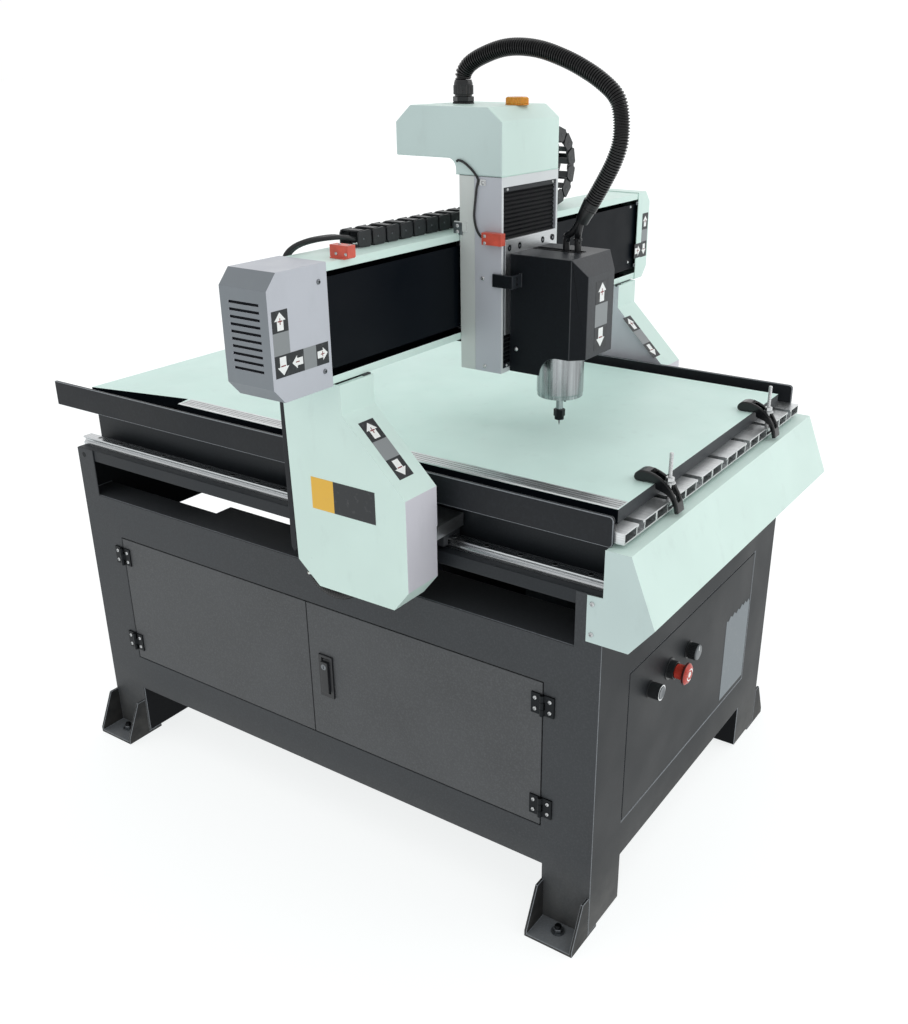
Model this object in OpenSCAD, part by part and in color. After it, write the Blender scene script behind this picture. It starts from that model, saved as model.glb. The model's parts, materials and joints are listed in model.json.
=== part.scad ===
// Cabinet-type engraving machine: a fixed slotted table on a sheet steel cabinet, a gantry that
// runs along it on two rails, a carriage that crosses the gantry, and a spindle that goes up and
// down on the carriage. Millimetres, +Z up, front towards -Y. Shapes are drawn with x = 0 on the
// cabinet's mid-plane, y = 0 on its front face and z = 0 on the floor, and place() then sets the
// origin below the middle of the whole machine.

/* [Cabinet] */
// Width of the cabinet, across the gantry's travel
cab_w = 768; // [640:8:920]
// Length of the cabinet, front to back
cab_l = 1192; // [1000:8:1424]
// Height of the corner posts, where the rails lie
cab_h = 651; // [560:1:760]
// Thickness of the cabinet's sheet steel
sheet_t = 2.5; // [1.5:0.5:4]
// Height of the side opening that the gantry's cross bar runs in
notch_h = 95; // [90:1:110]
// Width of the corner posts beside that opening
post_w = 46; // [30:1:60]
// Width of the legs, seen from the side
leg_side_w = 93; // [60:1:120]
// Width of the legs, seen from the front
leg_front_w = 111; // [80:1:130]
// Height of the apron's lower edge on the long sides
apron_side_z = 117; // [90:1:140]
// Height of the apron's lower edge on the front and back
apron_front_z = 100; // [80:1:130]
// Reach of the feet past the long sides
foot_reach = 54; // [40:1:80]
// Height of the foot gussets
foot_h = 86; // [60:1:95]

/* [Doors] */
// Distance from the cabinet's end to the door opening
door_end = 97; // [96:1:120]
// Height of the doors' lower edge
door_z = 195; // [150:1:220]
// Height of the doors
door_h = 280; // [200:1:300]
// Gap round each door
door_gap = 2; // [1:0.5:3]
// Depth of the doors' folded edge
door_fold = 15; // [10:1:25]
// Hinge pin radius
hinge_pin_r = 2; // [1.5:0.5:2.5]

/* [Control panel] */
// Width of the front service panel
panel_w = 554; // [460:2:560]
// Height of the front service panel
panel_h = 295; // [220:5:300]
// Height of the service panel's lower edge
panel_z = 173; // [150:1:180]
// Distance between the controls
control_pitch = 78.5; // [60:0.5:90]
// Height of the controls
control_z = 396; // [330:1:420]

/* [Table] */
// Number of slotted profiles side by side
profile_count = 7; // [5:1:9]
// Thickness of the slotted profiles
profile_h = 18; // [15:1:30]
// Width of a slot's mouth
slot_mouth = 14; // [8:1:16]
// Height of the table's underside above the posts
table_rise = 84; // [75:1:110]
// Reach of the table past the cabinet's front
table_front = 22; // [10:1:40]
// Thickness of the work board
board_t = 22; // [10:1:30]
// Width of the work board
board_w = 684; // [500:2:690]
// Height of the side guards
guard_h = 48; // [40:1:60]
// Reach of the side guards past the cabinet's back
guard_back = 50; // [20:1:80]

/* [Gantry] */
// Height of the beam's underside
beam_z = 932; // [890:1:1000]
// Height of the beam
beam_h = 175; // [165:1:190]
// Distance of the beam's front from the cabinet's front
beam_y = 404; // [380:1:440]
// Depth of the beam
beam_d = 84; // [84:1:110]
// Width of the leg covers
column_w = 78; // [60:1:90]
// Distance of the leg covers from the cabinet's side
column_gap = 20; // [12:1:30]
// Length of the left end cover, which holds the motor
end_left = 120; // [110:1:150]
// Length of the right end cover
end_right = 54; // [40:1:80]

/* [Head] */
// Rest position of the head across the machine
head_x = -75; // [-150:1:150]
// Width of the head
head_w = 175; // [160:1:200]
// Height of the head frame's lower end
head_z = 884; // [860:1:900]
// Height of the head frame
head_h = 314; // [300:1:340]
// Width of the slide plate
plate_w = 158; // [140:2:160]
// Height of the slide plate's lower end
plate_z = 948; // [940:1:960]
// Height of the slide plate
plate_h = 154; // [140:1:160]
// Spindle radius
spindle_r = 40; // [32.5:0.5:42.5]
// Height of the spindle's nose above the floor
spindle_z = 836; // [820:1:850]
// Rotor shaft radius
shaft_r = 6; // [5:0.5:8]
// Clearance of turning shafts in their bores
run_gap = 0.05; // [0.02:0.01:0.1]

/* [Hidden] */
$fn = 48;

// Cabinet
half_w = cab_w / 2;
notch_z = cab_h - notch_h;
tray_w = 101;
tray_back_w = 63;
tray_step_y = cab_l - 312;
rear_hole_w = 400;
rear_hole_z = 230;
rear_hole_h = 220;
sole_t = 6;
door_mid_gap = door_gap;
door_len = (cab_l - 2 * door_end) / 2;
// Rails
rail_w = 20;
rail_h = 18;
rail_x = half_w - 28;
runner_w = 44;
runner_h = 30;
runner_l = 77;
shelf_w = 97.5;
shelf_h = 23;
bed_tube_w = 40;
bed_x = half_w - 60;
// Table
table_z = cab_h + table_rise;
board_z = table_z + profile_h;
board_top = board_z + board_t;
guard_t = 6;
table_w = cab_w - 28;
profile_w = table_w / profile_count;
board_y0 = 4;
board_l = cab_l - 45;
// Gantry
leg_x = half_w + column_gap;
column_x = leg_x + column_w;
leg_t = 16;
leg_inset = 2;
leg_in = leg_x + leg_inset;
carriage_z = cab_h + runner_h;
carriage_t = 22;
column_y0 = beam_y - 122;
column_y1 = beam_y + 109;
column_mid_y = beam_y - 8;
leg_setback = 4;
column_low_z = 583;
column_top = beam_z - 2;
cross_y0 = beam_y - 36;
cross_y1 = cross_y0 + 52;
cross_z0 = 580;
cross_z1 = 618;
beam_end = half_w + 121;
cover_wall = 2;
cover_lap = 16;
beam_top = beam_z + beam_h;
beam_y1 = beam_y + beam_d;
lip_t = 2;
lip_h = 12;
tube_y = beam_y + 44;
panel_y = beam_y + 5;
panel_plate_t = 2;
web_t = 5;
web_gap = 2.5;
// Screws
screw_r = 8;
y_screw_z = 598;
x_screw_y = tube_y - 14;
x_screw_z = beam_z + beam_h / 2;
motor_w = 57;
motor_shaft_r = 4;
// Head
head_y = beam_y - 82;
frame_wall = 6;
frame_d = 42;
frame_back_t = 10;
head_top = head_z + head_h;
z_rail_h = 15;
z_stack = 30;
plate_y = head_y - 2;
z_back_y = head_y + frame_d;
plate_t = z_back_y - z_stack - plate_y;
z_screw_y = head_y + 30;
plate_top = plate_z + plate_h;
bellows_top = head_top - 16;
bellows_low = head_z + 8;
spindle_y = head_y - 64;
hood_wall = 1.5;
hood_y1 = head_y + 206;
hood_neck_y = head_y + 88;
hood_low = head_top + 24;
hood_top = head_top + 101;
cover_hw = 64.5;
cover_y0 = head_y - 136;
cover_z0 = head_z + 1;
cover_z1 = head_z + 195;
// Drag chain on the beam
chain_w = 38;
chain_h = 26;
chain_y = beam_y + 36;
chain_r = 60;
chain_pitch = 34;
chain_x0 = -372;
chain_x1 = 210;
chain_top = beam_top + 2 * chain_r + chain_h;
// Footprint, for the origin
reach_left = half_w + 121 - cover_lap + end_left;
reach_right = half_w + 121 - cover_lap + end_right;
cover_front = 85;
mid_x = (reach_right - reach_left) / 2;
mid_y = (cab_l + guard_back - cover_front) / 2;

// Routes of the hose and leads, chosen by hand; x is from the head's middle, z from its top
hose_pts = [[0, 132, 137.5], [0, 132, 143], [0, 129, 150], [0, 118, 161], [0, 96, 172], [0, 60, 183], [0, 25, 186],
            [0, -14, 182], [0, -53, 171], [0, -88, 157], [0, -123, 138], [0, -149, 116],
            [0, -158, 87], [0, -158, 53], [0, -149, 25], [0, -136, 0], [0, -122, -24],
            [0, -107, -49], [4, -92, -66], [9, -83, -90], [10, -80, -116], [10, -80, -132]];
lead_pts = [[0, 84, 20], [0, 80, 22], [0, 70, 19], [0, 59, 12], [0, 49, 3], [0, 43, -6],
            [0, 46, -17], [0, 48, -32], [0, 50, -47], [0, 51, -62], [0, 48, -78], [0, 42, -89],
            [0, 35, -94], [0, 30, -94]];
loop_pts = [[0, 96, 72], [0, 96, 50], [0, 95, 26], [0, 85, 4], [0, 62, -8], [0, 34, -9],
            [0, 11, 3], [0, 4, 23], [0, 4, 38]];
tail_pts = [[0, 0, 13], [-16, 3, 18], [-36, 12, 19], [-56, 26, 17], [-72, 42, 11], [-82, 53, 1],
            [-86, 57, -12], [-86, 57, -24], [-86, 52, -34], [-86, 46, -36], [-86, 40, -36]];

module place() { translate([-mid_x, -mid_y, 0]) children(); }
// Both long sides: the children are drawn on the -X side and mirrored to the other
module both_sides() { for (s = [0, 1]) mirror([s, 0, 0]) children(); }
// A box from its low and high corners
module box(a, b) { translate(a) cube(b - a); }
// A plate of thickness t from an outline in (y, z), standing at x
module yz_plate(x, t) {
  translate([x, 0, 0]) rotate([90, 0, 90]) linear_extrude(height = t) children();
}
// A plate of thickness t from an outline in (x, z), its front at y
module xz_plate(y, t) {
  translate([0, y + t, 0]) rotate([90, 0, 0]) linear_extrude(height = t) children();
}
module x_rod(x, y, z, r, l) { translate([x, y, z]) rotate([0, 90, 0]) cylinder(r = r, h = l); }
module y_rod(x, y, z, r, l) { translate([x, y, z]) rotate([-90, 0, 0]) cylinder(r = r, h = l); }
module z_rod(x, y, z, r, l) { translate([x, y, z]) cylinder(r = r, h = l); }

// A bent sheet: the path is one face, and the other lies t to its left
function left_of(a, b) = let (d = b - a) [-d[1], d[0]] / norm(d);
function mitre(p, i, t) =
  i == 0 ? p[0] + t * left_of(p[0], p[1]) :
  i == len(p) - 1 ? p[i] + t * left_of(p[i - 1], p[i]) :
  let (m = left_of(p[i - 1], p[i]), n = left_of(p[i], p[i + 1])) p[i] + t * (m + n) / (1 + m * n);
function bent(p, t) = concat(p, [for (i = [len(p) - 1:-1:0]) mitre(p, i, t)]);

// A tube swept along points: rings of n sides lie square to the way between their neighbours
function unit(v) = v / norm(v);
function heading(p, i) = unit(p[min(i + 1, len(p) - 1)] - p[max(i - 1, 0)]);
function ring(c, d, side, r, n) =
  let (u = unit(cross(d, side)), v = cross(u, d))
  [for (k = [0:n - 1]) c + r * (cos(360 * k / n) * u + sin(360 * k / n) * v)];
module tube(p, r, n, side = [1, 0, 0]) {
  pts = [for (i = [0:len(p) - 1]) each ring(p[i], heading(p, i), side, is_list(r) ? r[i] : r, n)];
  walls = [for (i = [0:len(p) - 2]) for (k = [0:n - 1])
    [i * n + k, i * n + (k + 1) % n, (i + 1) * n + (k + 1) % n, (i + 1) * n + k]];
  polyhedron(pts, concat([[for (k = [n - 1:-1:0]) k]], walls,
    [[for (k = [0:n - 1]) (len(p) - 1) * n + k]]), convexity = 6);
}

// ---- Cabinet ----
module side_outline(doors) {
  difference() {
    polygon([[0, sole_t], [leg_side_w, sole_t], [leg_side_w, apron_side_z],
      [cab_l - leg_side_w, apron_side_z], [cab_l - leg_side_w, sole_t], [cab_l, sole_t],
      [cab_l, cab_h], [cab_l - post_w, cab_h], [cab_l - post_w, notch_z], [post_w, notch_z],
      [post_w, cab_h], [0, cab_h]]);
    if (doors) translate([door_end, door_z]) square([2 * door_len, door_h]);
  }
}

module cabinet_sides() place() color("#55585A") {
  yz_plate(-half_w, sheet_t) side_outline(true);
  yz_plate(half_w - sheet_t, sheet_t) side_outline(false);
}

module end_outline() {
  w = half_w - sheet_t;
  polygon([[-w, sole_t], [-half_w + leg_front_w, sole_t], [-half_w + leg_front_w, apron_front_z],
    [half_w - leg_front_w, apron_front_z], [half_w - leg_front_w, sole_t], [w, sole_t],
    [w, cab_h - shelf_h], [-w, cab_h - shelf_h]]);
}

// The tray below the left window: broad in front, narrow behind the cross bar's reach
module tray_outline() {
  x = -half_w + sheet_t;
  polygon([[x, sheet_t], [x + tray_w, sheet_t], [x + tray_w, tray_step_y], [x + tray_back_w, tray_step_y],
    [x + tray_back_w, cab_l - sheet_t], [x, cab_l - sheet_t]]);
}

// Each leg's two inner walls, which close it to a box section
module leg_walls() {
  x = half_w - leg_front_w;
  both_sides() for (end = [0, 1]) translate([0, end * cab_l, 0]) mirror([0, end, 0]) {
    box([-x - sheet_t, sheet_t, sole_t], [-x, leg_side_w, apron_side_z]);
    box([-half_w + sheet_t, leg_side_w - sheet_t, sole_t], [-x, leg_side_w, apron_side_z]);
  }
}

module cabinet_shell() place() color("#55585A") {
  w = half_w - sheet_t;
  lap = 12;
  pw = panel_w / 2;
  difference() {
    union() {
      xz_plate(0, sheet_t) end_outline();
      xz_plate(cab_l - sheet_t, sheet_t) end_outline();
      // floor, folded up at its long edges
      box([-w, sheet_t, apron_side_z], [w, cab_l - sheet_t, apron_side_z + sheet_t]);
      leg_walls();
      translate([0, 0, notch_z - sheet_t]) linear_extrude(height = sheet_t) tray_outline();
      // rim behind the service panel
      box([-pw - lap, sheet_t, panel_z - lap], [pw + lap, 2 * sheet_t, panel_z + panel_h + lap]);
    }
    box([-pw, -1, panel_z], [pw, sheet_t, panel_z + panel_h]);
    box([-pw + lap, -1, panel_z + lap], [pw - lap, 3 * sheet_t, panel_z + panel_h - lap]);
    box([-rear_hole_w / 2, cab_l - 5, rear_hole_z], [rear_hole_w / 2, cab_l + 1, rear_hole_z + rear_hole_h]);
    box([inlet_x - 14, cab_l - 5, inlet_z - 11], [inlet_x + 14, cab_l + 1, inlet_z + 11]);
  }
}

control_x = [-194, -194 + control_pitch, -194 + 2 * control_pitch];
switch_r = 11;

module service_panel() place() color("#5A5C5B") difference() {
  box([-panel_w / 2 + door_gap, 0, panel_z + door_gap],
    [panel_w / 2 - door_gap, sheet_t, panel_z + panel_h - door_gap]);
  for (x = control_x) y_rod(x, -1, control_z, switch_r, sheet_t + 2);
}

module foot() {
  g = 5;
  outline = [[0, 0], [0, foot_h], [-20, foot_h], [-foot_reach, 12], [-foot_reach, 0]];
  difference() {
    union() {
      box([-foot_reach, 0, 0], [sheet_t + 30, leg_side_w, sole_t]);
      for (y = [0, leg_side_w - g]) translate([0, y, 0]) xz_plate(0, g) polygon(outline);
    }
    z_rod(-foot_reach / 2 + 8, leg_side_w / 2, -1, 7, sole_t + 2);
  }
}

module each_foot() {
  both_sides() translate([-half_w, 0, 0]) {
    children();
    translate([0, cab_l, 0]) mirror([0, 1, 0]) children();
  }
}

module feet() place() color("#3F4143") each_foot() foot();

module foot_bolts() place() color("#2B2D2F") each_foot() {
  x = -foot_reach / 2 + 8;
  y = leg_side_w / 2;
  z_rod(x, y, 0.5, 6.5, 20);
  z_rod(x, y, sole_t, 12, 2);
  translate([x, y, sole_t + 2]) cylinder(r = 10.5, h = 9, $fn = 6);
}

// ---- Bed: shelves for the rails, tubes that carry the table, and members across ----
module square_tube(a, b, t) {
  s = b - a;
  long = max(s);
  hollow = [for (i = [0:2]) s[i] == long ? [-1, long + 1] : [t, s[i] - t]];
  difference() {
    box(a, b);
    translate(a) box([hollow[0][0], hollow[1][0], hollow[2][0]], [hollow[0][1], hollow[1][1], hollow[2][1]]);
  }
}

module bed_frame() place() color("#3A3D40") {
  w = half_w - sheet_t;
  low = cab_h - shelf_h;
  ends = [[0, 142], [cab_l - 80, cab_l]];
  inner = half_w - shelf_w - sheet_t;
  union() {
    both_sides() {
      square_tube([-w, 0, low], [-inner, cab_l, cab_h], 3);
      square_tube([-bed_x, 0, cab_h], [-bed_x + bed_tube_w, cab_l, table_z], 3);
    }
    for (e = ends) square_tube([-inner, e[0], low], [inner, e[1], cab_h], 3);
    for (y = [0, cab_l / 3, 2 * cab_l / 3, cab_l - 50])
      square_tube([-bed_x + bed_tube_w, y, table_z - 40], [bed_x - bed_tube_w, y + 50, table_z], 3);
  }
}

module y_rails() place() color("silver") both_sides() difference() {
  yz_groove = 4;
  translate([-rail_x, 0, 0]) rotate([90, 0, 0]) translate([0, 0, -cab_l]) linear_extrude(height = cab_l)
    polygon([[-rail_w / 2, cab_h], [rail_w / 2, cab_h], [rail_w / 2, cab_h + 6],
      [rail_w / 2 - yz_groove, cab_h + 9], [rail_w / 2 - yz_groove, cab_h + 12],
      [rail_w / 2, cab_h + 15], [rail_w / 2, cab_h + rail_h], [-rail_w / 2, cab_h + rail_h],
      [-rail_w / 2, cab_h + 15], [-rail_w / 2 + yz_groove, cab_h + 12],
      [-rail_w / 2 + yz_groove, cab_h + 9], [-rail_w / 2, cab_h + 6]]);
}

module side_guards() place() color("#3C3F42") for (s = [0, 1]) mirror([s, 0, 0]) {
  // the right one stands a little higher
  r = 7;
  z0 = table_z - r + 1;
  h = guard_h + 10 * s;
  yz_plate(-table_w / 2 - guard_t, guard_t) difference() {
    translate([-6, z0]) square([cab_l + guard_back + 6, h]);
    for (c = [[-6, z0, 0], [-6, z0 + h, 270]])
      translate([c[0], c[1]]) rotate(c[2]) difference() {
        square(r);
        translate([r, r]) circle(r = r);
      }
  }
}

module profile_section() {
  w = profile_w - 0.3;
  wall = 2.5;
  under = 24;
  cell = w / 2 - under / 2 - 2 * wall;
  difference() {
    square([w, profile_h]);
    translate([w / 2 - slot_mouth / 2, wall]) square([slot_mouth, profile_h]);
    translate([w / 2 - under / 2, wall]) square([under, profile_h - wall - 4]);
    for (x = [wall, w - wall - cell]) translate([x, wall]) square([cell, profile_h - 2 * wall]);
  }
}

module slot_table() place() color("#B4B8BA") for (i = [0:profile_count - 1])
  translate([-table_w / 2 + i * profile_w, cab_l, table_z]) rotate([90, 0, 0])
    linear_extrude(height = cab_l + table_front) profile_section();

module work_board() place() color("#C3DDD6") {
  // the rear left corner is cut back to a long point
  w = board_w / 2;
  translate([0, 0, board_z]) linear_extrude(height = board_t)
    polygon([[-w, board_y0], [w, board_y0 + 7], [w, board_y0 + board_l], [-w - 16, board_y0 + board_l],
      [-w + 33, board_y0 + board_l - 218], [-w, board_y0 + board_l - 226]]);
}

module front_cover() place() color("#C8E0DA") {
  t = 1.5;
  y0 = -cover_front;
  drop = table_z - 6;
  skin = [[-1, drop], [y0 + 43, drop], [y0, drop - 107], [y0 + 40, drop - 157], [-t, drop - 157]];
  cheek = [[0, drop], [y0 + 43, drop], [y0, drop - 107], [y0 + 40, drop - 157], [26, drop - 157],
    [26, cab_h - 1], [0, cab_h]];
  union() {
    yz_plate(-half_w - t, 2 * half_w + 2 * t) polygon(bent([for (i = [4:-1:0]) skin[i]], -t));
    both_sides() yz_plate(-half_w - t, t) polygon(cheek);
  }
}

// ---- Hold-down clamps ----
clamp_slots = [1, 5];
function slot_x(i) = -table_w / 2 + (i + 0.5) * profile_w;
stud_y = board_y0 - 20;
arm_w = 24;
// the arch, from the board's front top edge: its toe stands on the board, its heel hangs in front
arch = [[36, 6], [34, 12], [28, 17], [20, 19], [10, 18.5], [0, 15.5], [-10, 11], [-20, 4.5],
        [-28, -4], [-35, -15], [-40, -27], [-43, -40], [-36, -42], [-33, -30], [-27, -18],
        [-18, -12], [-8, -9], [-1, -7], [-1, 1], [12, 2], [18, 0], [31, 0], [34.5, 2]];

module clamp_arms() place() color("#15181B") for (i = clamp_slots)
  translate([slot_x(i), board_y0, board_top]) difference() {
    yz_plate(-arm_w / 2, arm_w) polygon(arch);
    box([-arm_w / 2 + 6, -38, -60], [arm_w / 2 - 6, 8, 40]);
    z_rod(0, stud_y - board_y0, 3, 10, 30);
  }

module clamp_bolts() place() color("#C9CCCE") for (i = clamp_slots)
  translate([slot_x(i), stud_y, 0]) {
    top = board_top + 3;
    under = board_z - 4;
    box([-9, -6, under - 6], [9, 6, under]);
    z_rod(0, 0, under, 4, board_top + 52 - under);
    difference() {
      union() {
        z_rod(0, 0, top, 9, 3);
        translate([0, 0, top + 3]) cylinder(r = 7.2, h = 7, $fn = 6);
      }
      z_rod(0, 0, top - 1, 4, 12);
    }
  }

// ---- Controls on the service panel ----
button_h = 22;
estop_h = 38;
knob_h = 21;
estop_collar = 13;
knob_collar = 4;
cap_gap = 0.3;
stem_r = 7.95;
inlet_x = 250;
inlet_z = 220;

module panel_fittings() place() color("#1B1D20") {
  // bodies behind the panel and collars in front of it
  for (i = [0:2]) translate([control_x[i], 0, control_z]) difference() {
    collar = [button_h, estop_collar, knob_collar][i];
    union() {
      y_rod(0, sheet_t, 0, 15, 3);
      y_rod(0, -2, 0, switch_r - 0.2, sheet_t + 2);
      y_rod(0, sheet_t + 3, 0, 12, 32);
      y_rod(0, -collar, 0, i == 1 ? 16.5 : 14.2, collar);
    }
    y_rod(0, -collar - 1, 0, stem_r + run_gap, collar + 21);
    if (i == 0) y_rod(0, -collar - 1, 0, 11.5, 6);
    if (i == 1) y_rod(0, -collar - 1, 0, 14, 7);
  }
  // power inlet on the back
  translate([inlet_x, cab_l, inlet_z]) difference() {
    union() {
      box([-25, 0, -15], [25, 3, 15]);
      box([-14, -28, -11], [14, 0, 11]);
    }
    box([-11, -18, -8], [11, 4, 8]);
  }
  for (i = [-1:1])
    box([inlet_x + 6 * i - 1, cab_l - 18, inlet_z - 2], [inlet_x + 6 * i + 1, cab_l - 3, inlet_z + 2]);
}

module button_cap() place() color("#26292C") translate([control_x[0], 0, control_z]) {
  y_rod(0, -button_h - 1, 0, 11.2, 2);
  y_rod(0, -button_h, 0, stem_r, button_h - 2);
}

module estop_head() place() color("#D2553F") translate([control_x[1], 0, control_z]) {
  y_rod(0, -estop_h, 0, 20, 9);
  y_rod(0, -estop_h + 9, 0, 13.6, estop_h - 9 - estop_collar + 1);
  y_rod(0, -estop_collar, 0, stem_r, 14);
}

module speed_knob() place() color("#2A2C2F") translate([control_x[2], 0, control_z]) {
  y_rod(0, -knob_h, 0, 15.5, knob_h - knob_collar - cap_gap);
  y_rod(0, -knob_collar - cap_gap, 0, stem_r, 14);
}

// ---- Doors, hinges and latch ----
pin_x = half_w + 4.2;
knuckle_r = 3.9;
hinge_h = 38;
hinge_leaf = 17;
hinge_zs = [door_z + 22, door_z + door_h - 60];
latch_y = door_end + door_len - 57;
latch_z = door_z + 93;

module door_pan(y0, y1) {
  t = 2;
  z0 = door_z + door_gap;
  z1 = door_z + door_h - door_gap;
  difference() {
    box([-half_w, y0, z0], [-half_w + door_fold, y1, z1]);
    box([-half_w + t, y0 + t, z0 + t], [-half_w + door_fold + 1, y1 - t, z1 - t]);
  }
}

// One leaf of a hinge, from its pin at y towards dir, with the knuckles from z list ks
module hinge_leaf(y, dir, z, ks, bore) difference() {
  union() {
    box([-half_w - 3, min(y + dir * 4.4, y + dir * (4.4 + hinge_leaf)), z],
      [-half_w, max(y + dir * 4.4, y + dir * (4.4 + hinge_leaf)), z + hinge_h]);
    for (k = ks) {
      z_rod(-pin_x, y, z + k[0], knuckle_r, k[1]);
      box([-pin_x, min(y, y + dir * 5), z + k[0]], [-half_w - 0.4, max(y, y + dir * 5), z + k[0] + k[1]]);
    }
  }
  z_rod(-pin_x, y, z - 1, bore, hinge_h + 2);
}

outer_knuckles = [[0, 12], [hinge_h - 12, 12]];
mid_knuckle = [[12.4, hinge_h - 24.8]];

module door_with_leaves(y0, y1, pin_y, dir) difference() {
  union() {
    door_pan(y0, y1);
  }
  if (dir > 0) box([-half_w - 1, latch_y + 3, latch_z + 4], [-half_w + 5, latch_y + 29, latch_z + 83]);
}

module near_door() place() color("#4E5153") {
  door_with_leaves(door_end + door_gap, door_end + door_len - door_mid_gap / 2, door_end, 1);
  for (z = hinge_zs) color("#1B1D20") hinge_leaf(door_end, 1, z, mid_knuckle, hinge_pin_r + run_gap);
}

module far_door() place() color("#5A5D5E") {
  y = cab_l - door_end;
  door_with_leaves(y - door_len + door_mid_gap / 2, y - door_gap, y, -1);
  for (z = hinge_zs) color("#1B1D20") hinge_leaf(y, -1, z, mid_knuckle, hinge_pin_r + run_gap);
}

module hinge_frame_leaves() place() color("#1B1D20") for (s = [-1, 1]) for (z = hinge_zs) {
  y = s < 0 ? door_end : cab_l - door_end;
  hinge_leaf(y, s, z, outer_knuckles, hinge_pin_r);
  z_rod(-pin_x, y, z, hinge_pin_r, hinge_h);
}

latch_pin_z = latch_z + 76;
module latch_plate() place() color("#17191C") difference() {
  union() {
    box([-half_w - 4, latch_y, latch_z], [-half_w, latch_y + 32, latch_z + 87]);
    box([-half_w, latch_y + 3, latch_z + 4], [-half_w + 12, latch_y + 29, latch_z + 83]);
  }
  box([-half_w - 5, latch_y + 7, latch_z + 8], [-half_w + 9, latch_y + 25, latch_z + 82]);
  y_rod(-half_w + 2, latch_y + 2, latch_pin_z, 1.5, 28);
}

module latch_lever() place() color("#202327") {
  y_rod(-half_w + 2, latch_y + 4, latch_pin_z, 1.5 - run_gap, 24);
  difference() {
    union() {
      y_rod(-half_w + 2, latch_y + 7.5, latch_pin_z, 4.5, 17);
      box([-half_w - 9, latch_y + 7.5, latch_z + 11], [-half_w + 2, latch_y + 24.5, latch_pin_z]);
    }
    y_rod(-half_w + 2, latch_y + 7, latch_pin_z, 1.5 - run_gap, 18);
  }
}

// ---- Control gear on the cabinet floor ----
module control_gear() place() color("#6D7479") {
  z = apron_side_z + sheet_t;
  difference() {
    box([120, 300, z], [270, 440, z + 220]);
    for (i = [0:7]) box([119, 315 + 14 * i, z + 30], [126, 322 + 14 * i, z + 190]);
  }
  box([120, 500, z], [235, 715, z + 50]);
  for (i = [0:2]) {
    box([150, 770 + 70 * i, z], [270, 805 + 70 * i, z + 150]);
    box([140, 776 + 70 * i, z + 20], [150, 799 + 70 * i, z + 130]);
  }
}

// ---- Screws that drive the slides ----
module motor(l) {
  // flange face at z = 0, body below it
  difference() {
    translate([0, 0, -l / 2]) cube([motor_w, motor_w, l], center = true);
    for (x = [-1, 1]) for (y = [-1, 1])
      translate([x * motor_w / 2, y * motor_w / 2, -l / 2 - 7]) cube([12, 12, l], center = true);
    translate([0, 0, -19]) cylinder(r = motor_shaft_r + run_gap, h = 20);
  }
}

// A slit coupling with the motor's shaft below it
module coupling(l) difference() {
  union() {
    cylinder(r = 11, h = l);
    translate([0, 0, -18]) cylinder(r = motor_shaft_r, h = 19);
  }
  for (i = [0:2]) translate([5 - 10 * (i % 2), 0, l / 2 - 4 + 4 * i]) cube([18, 26, 1.2], center = true);
}

y_motor_face = 84;
module y_motor() place() color("#2B2D30") {
  z1 = cab_h - shelf_h;
  translate([0, y_motor_face, y_screw_z]) rotate([-90, 0, 0]) motor(76);
  difference() {
    box([-34, y_motor_face, y_screw_z - 32], [34, y_motor_face + 6, z1]);
    y_rod(0, y_motor_face - 1, y_screw_z, 12, 8);
  }
  for (y = [114, cab_l - 32]) difference() {
    box([-28, y, y_screw_z - 24], [28, y + 20, z1]);
    y_rod(0, y - 1, y_screw_z, 6 + run_gap, 22);
  }
}

module y_screw() place() color("silver") translate([0, 0, y_screw_z]) rotate([-90, 0, 0]) {
  translate([0, 0, y_motor_face + 6.5]) coupling(22);
  translate([0, 0, y_motor_face + 28.5]) cylinder(r = 6, h = cab_l - 12 - y_motor_face - 28.5);
  translate([0, 0, 134.3]) cylinder(r = screw_r, h = cab_l - 32 - 0.3 - 134.3);
}

module runner(l = runner_l, w = runner_w, h = runner_h, rw = rail_w, rh = rail_h) {
  // runs along y, its rail's foot at z = 0
  g = 0.3;
  difference() {
    translate([-w / 2, 0, h - 24]) cube([w, l, 24]);
    translate([-rw / 2 - g, -1, -1]) cube([rw + 2 * g, l + 2, rh + 1 + g]);
  }
}

// ---- Gantry ----
column_outline = [[column_mid_y, column_top], [column_mid_y, 884], [column_y0, 772],
  [column_y0, 620], [column_y0 + 29, column_low_z], [column_y1 - 49, column_low_z],
  [column_y1 - 6, 621], [column_y1, 884], [column_y1, column_top]];

module column_covers() place() color("#BFD6D3") both_sides() difference() {
  t = 1.5;
  fit = 0.3;
  union() {
    yz_plate(-column_x, t) polygon(column_outline);
    yz_plate(-column_x, column_w) polygon(bent(column_outline, t));
    yz_plate(-leg_x - t, t) polygon(column_outline);
    // the cap in front of the beam
    box([-column_x, column_mid_y, column_top - t], [-leg_x, beam_y, column_top]);
  }
  // the cap clears the casting behind it
  box([-leg_in - leg_t - fit, column_mid_y + leg_setback - fit, column_top - t - 1],
    [-leg_x + 1, beam_y + 1, column_top + 1]);
  box([-leg_x - 2, column_y0 - 1, column_low_z - 1],
    [-leg_x + 1, column_y1 + 1, carriage_z + carriage_t + 2]);
  // open at the bottom towards the back, for the cable loop
  box([-column_x + t, column_y1 - 124, column_low_z - 1],
    [-leg_x - t, column_y1 + 1, column_low_z + 42]);
}

module column_backs() place() color("#1E2124") both_sides()
  yz_plate(-column_x, column_w - 26) polygon([[column_y1 - 5, 640], [column_y1 + 3, 632],
    [column_y1 + 8, 640], [column_y1 + 8, column_top], [column_y1, column_top], [column_y1, 884]]);

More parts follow.
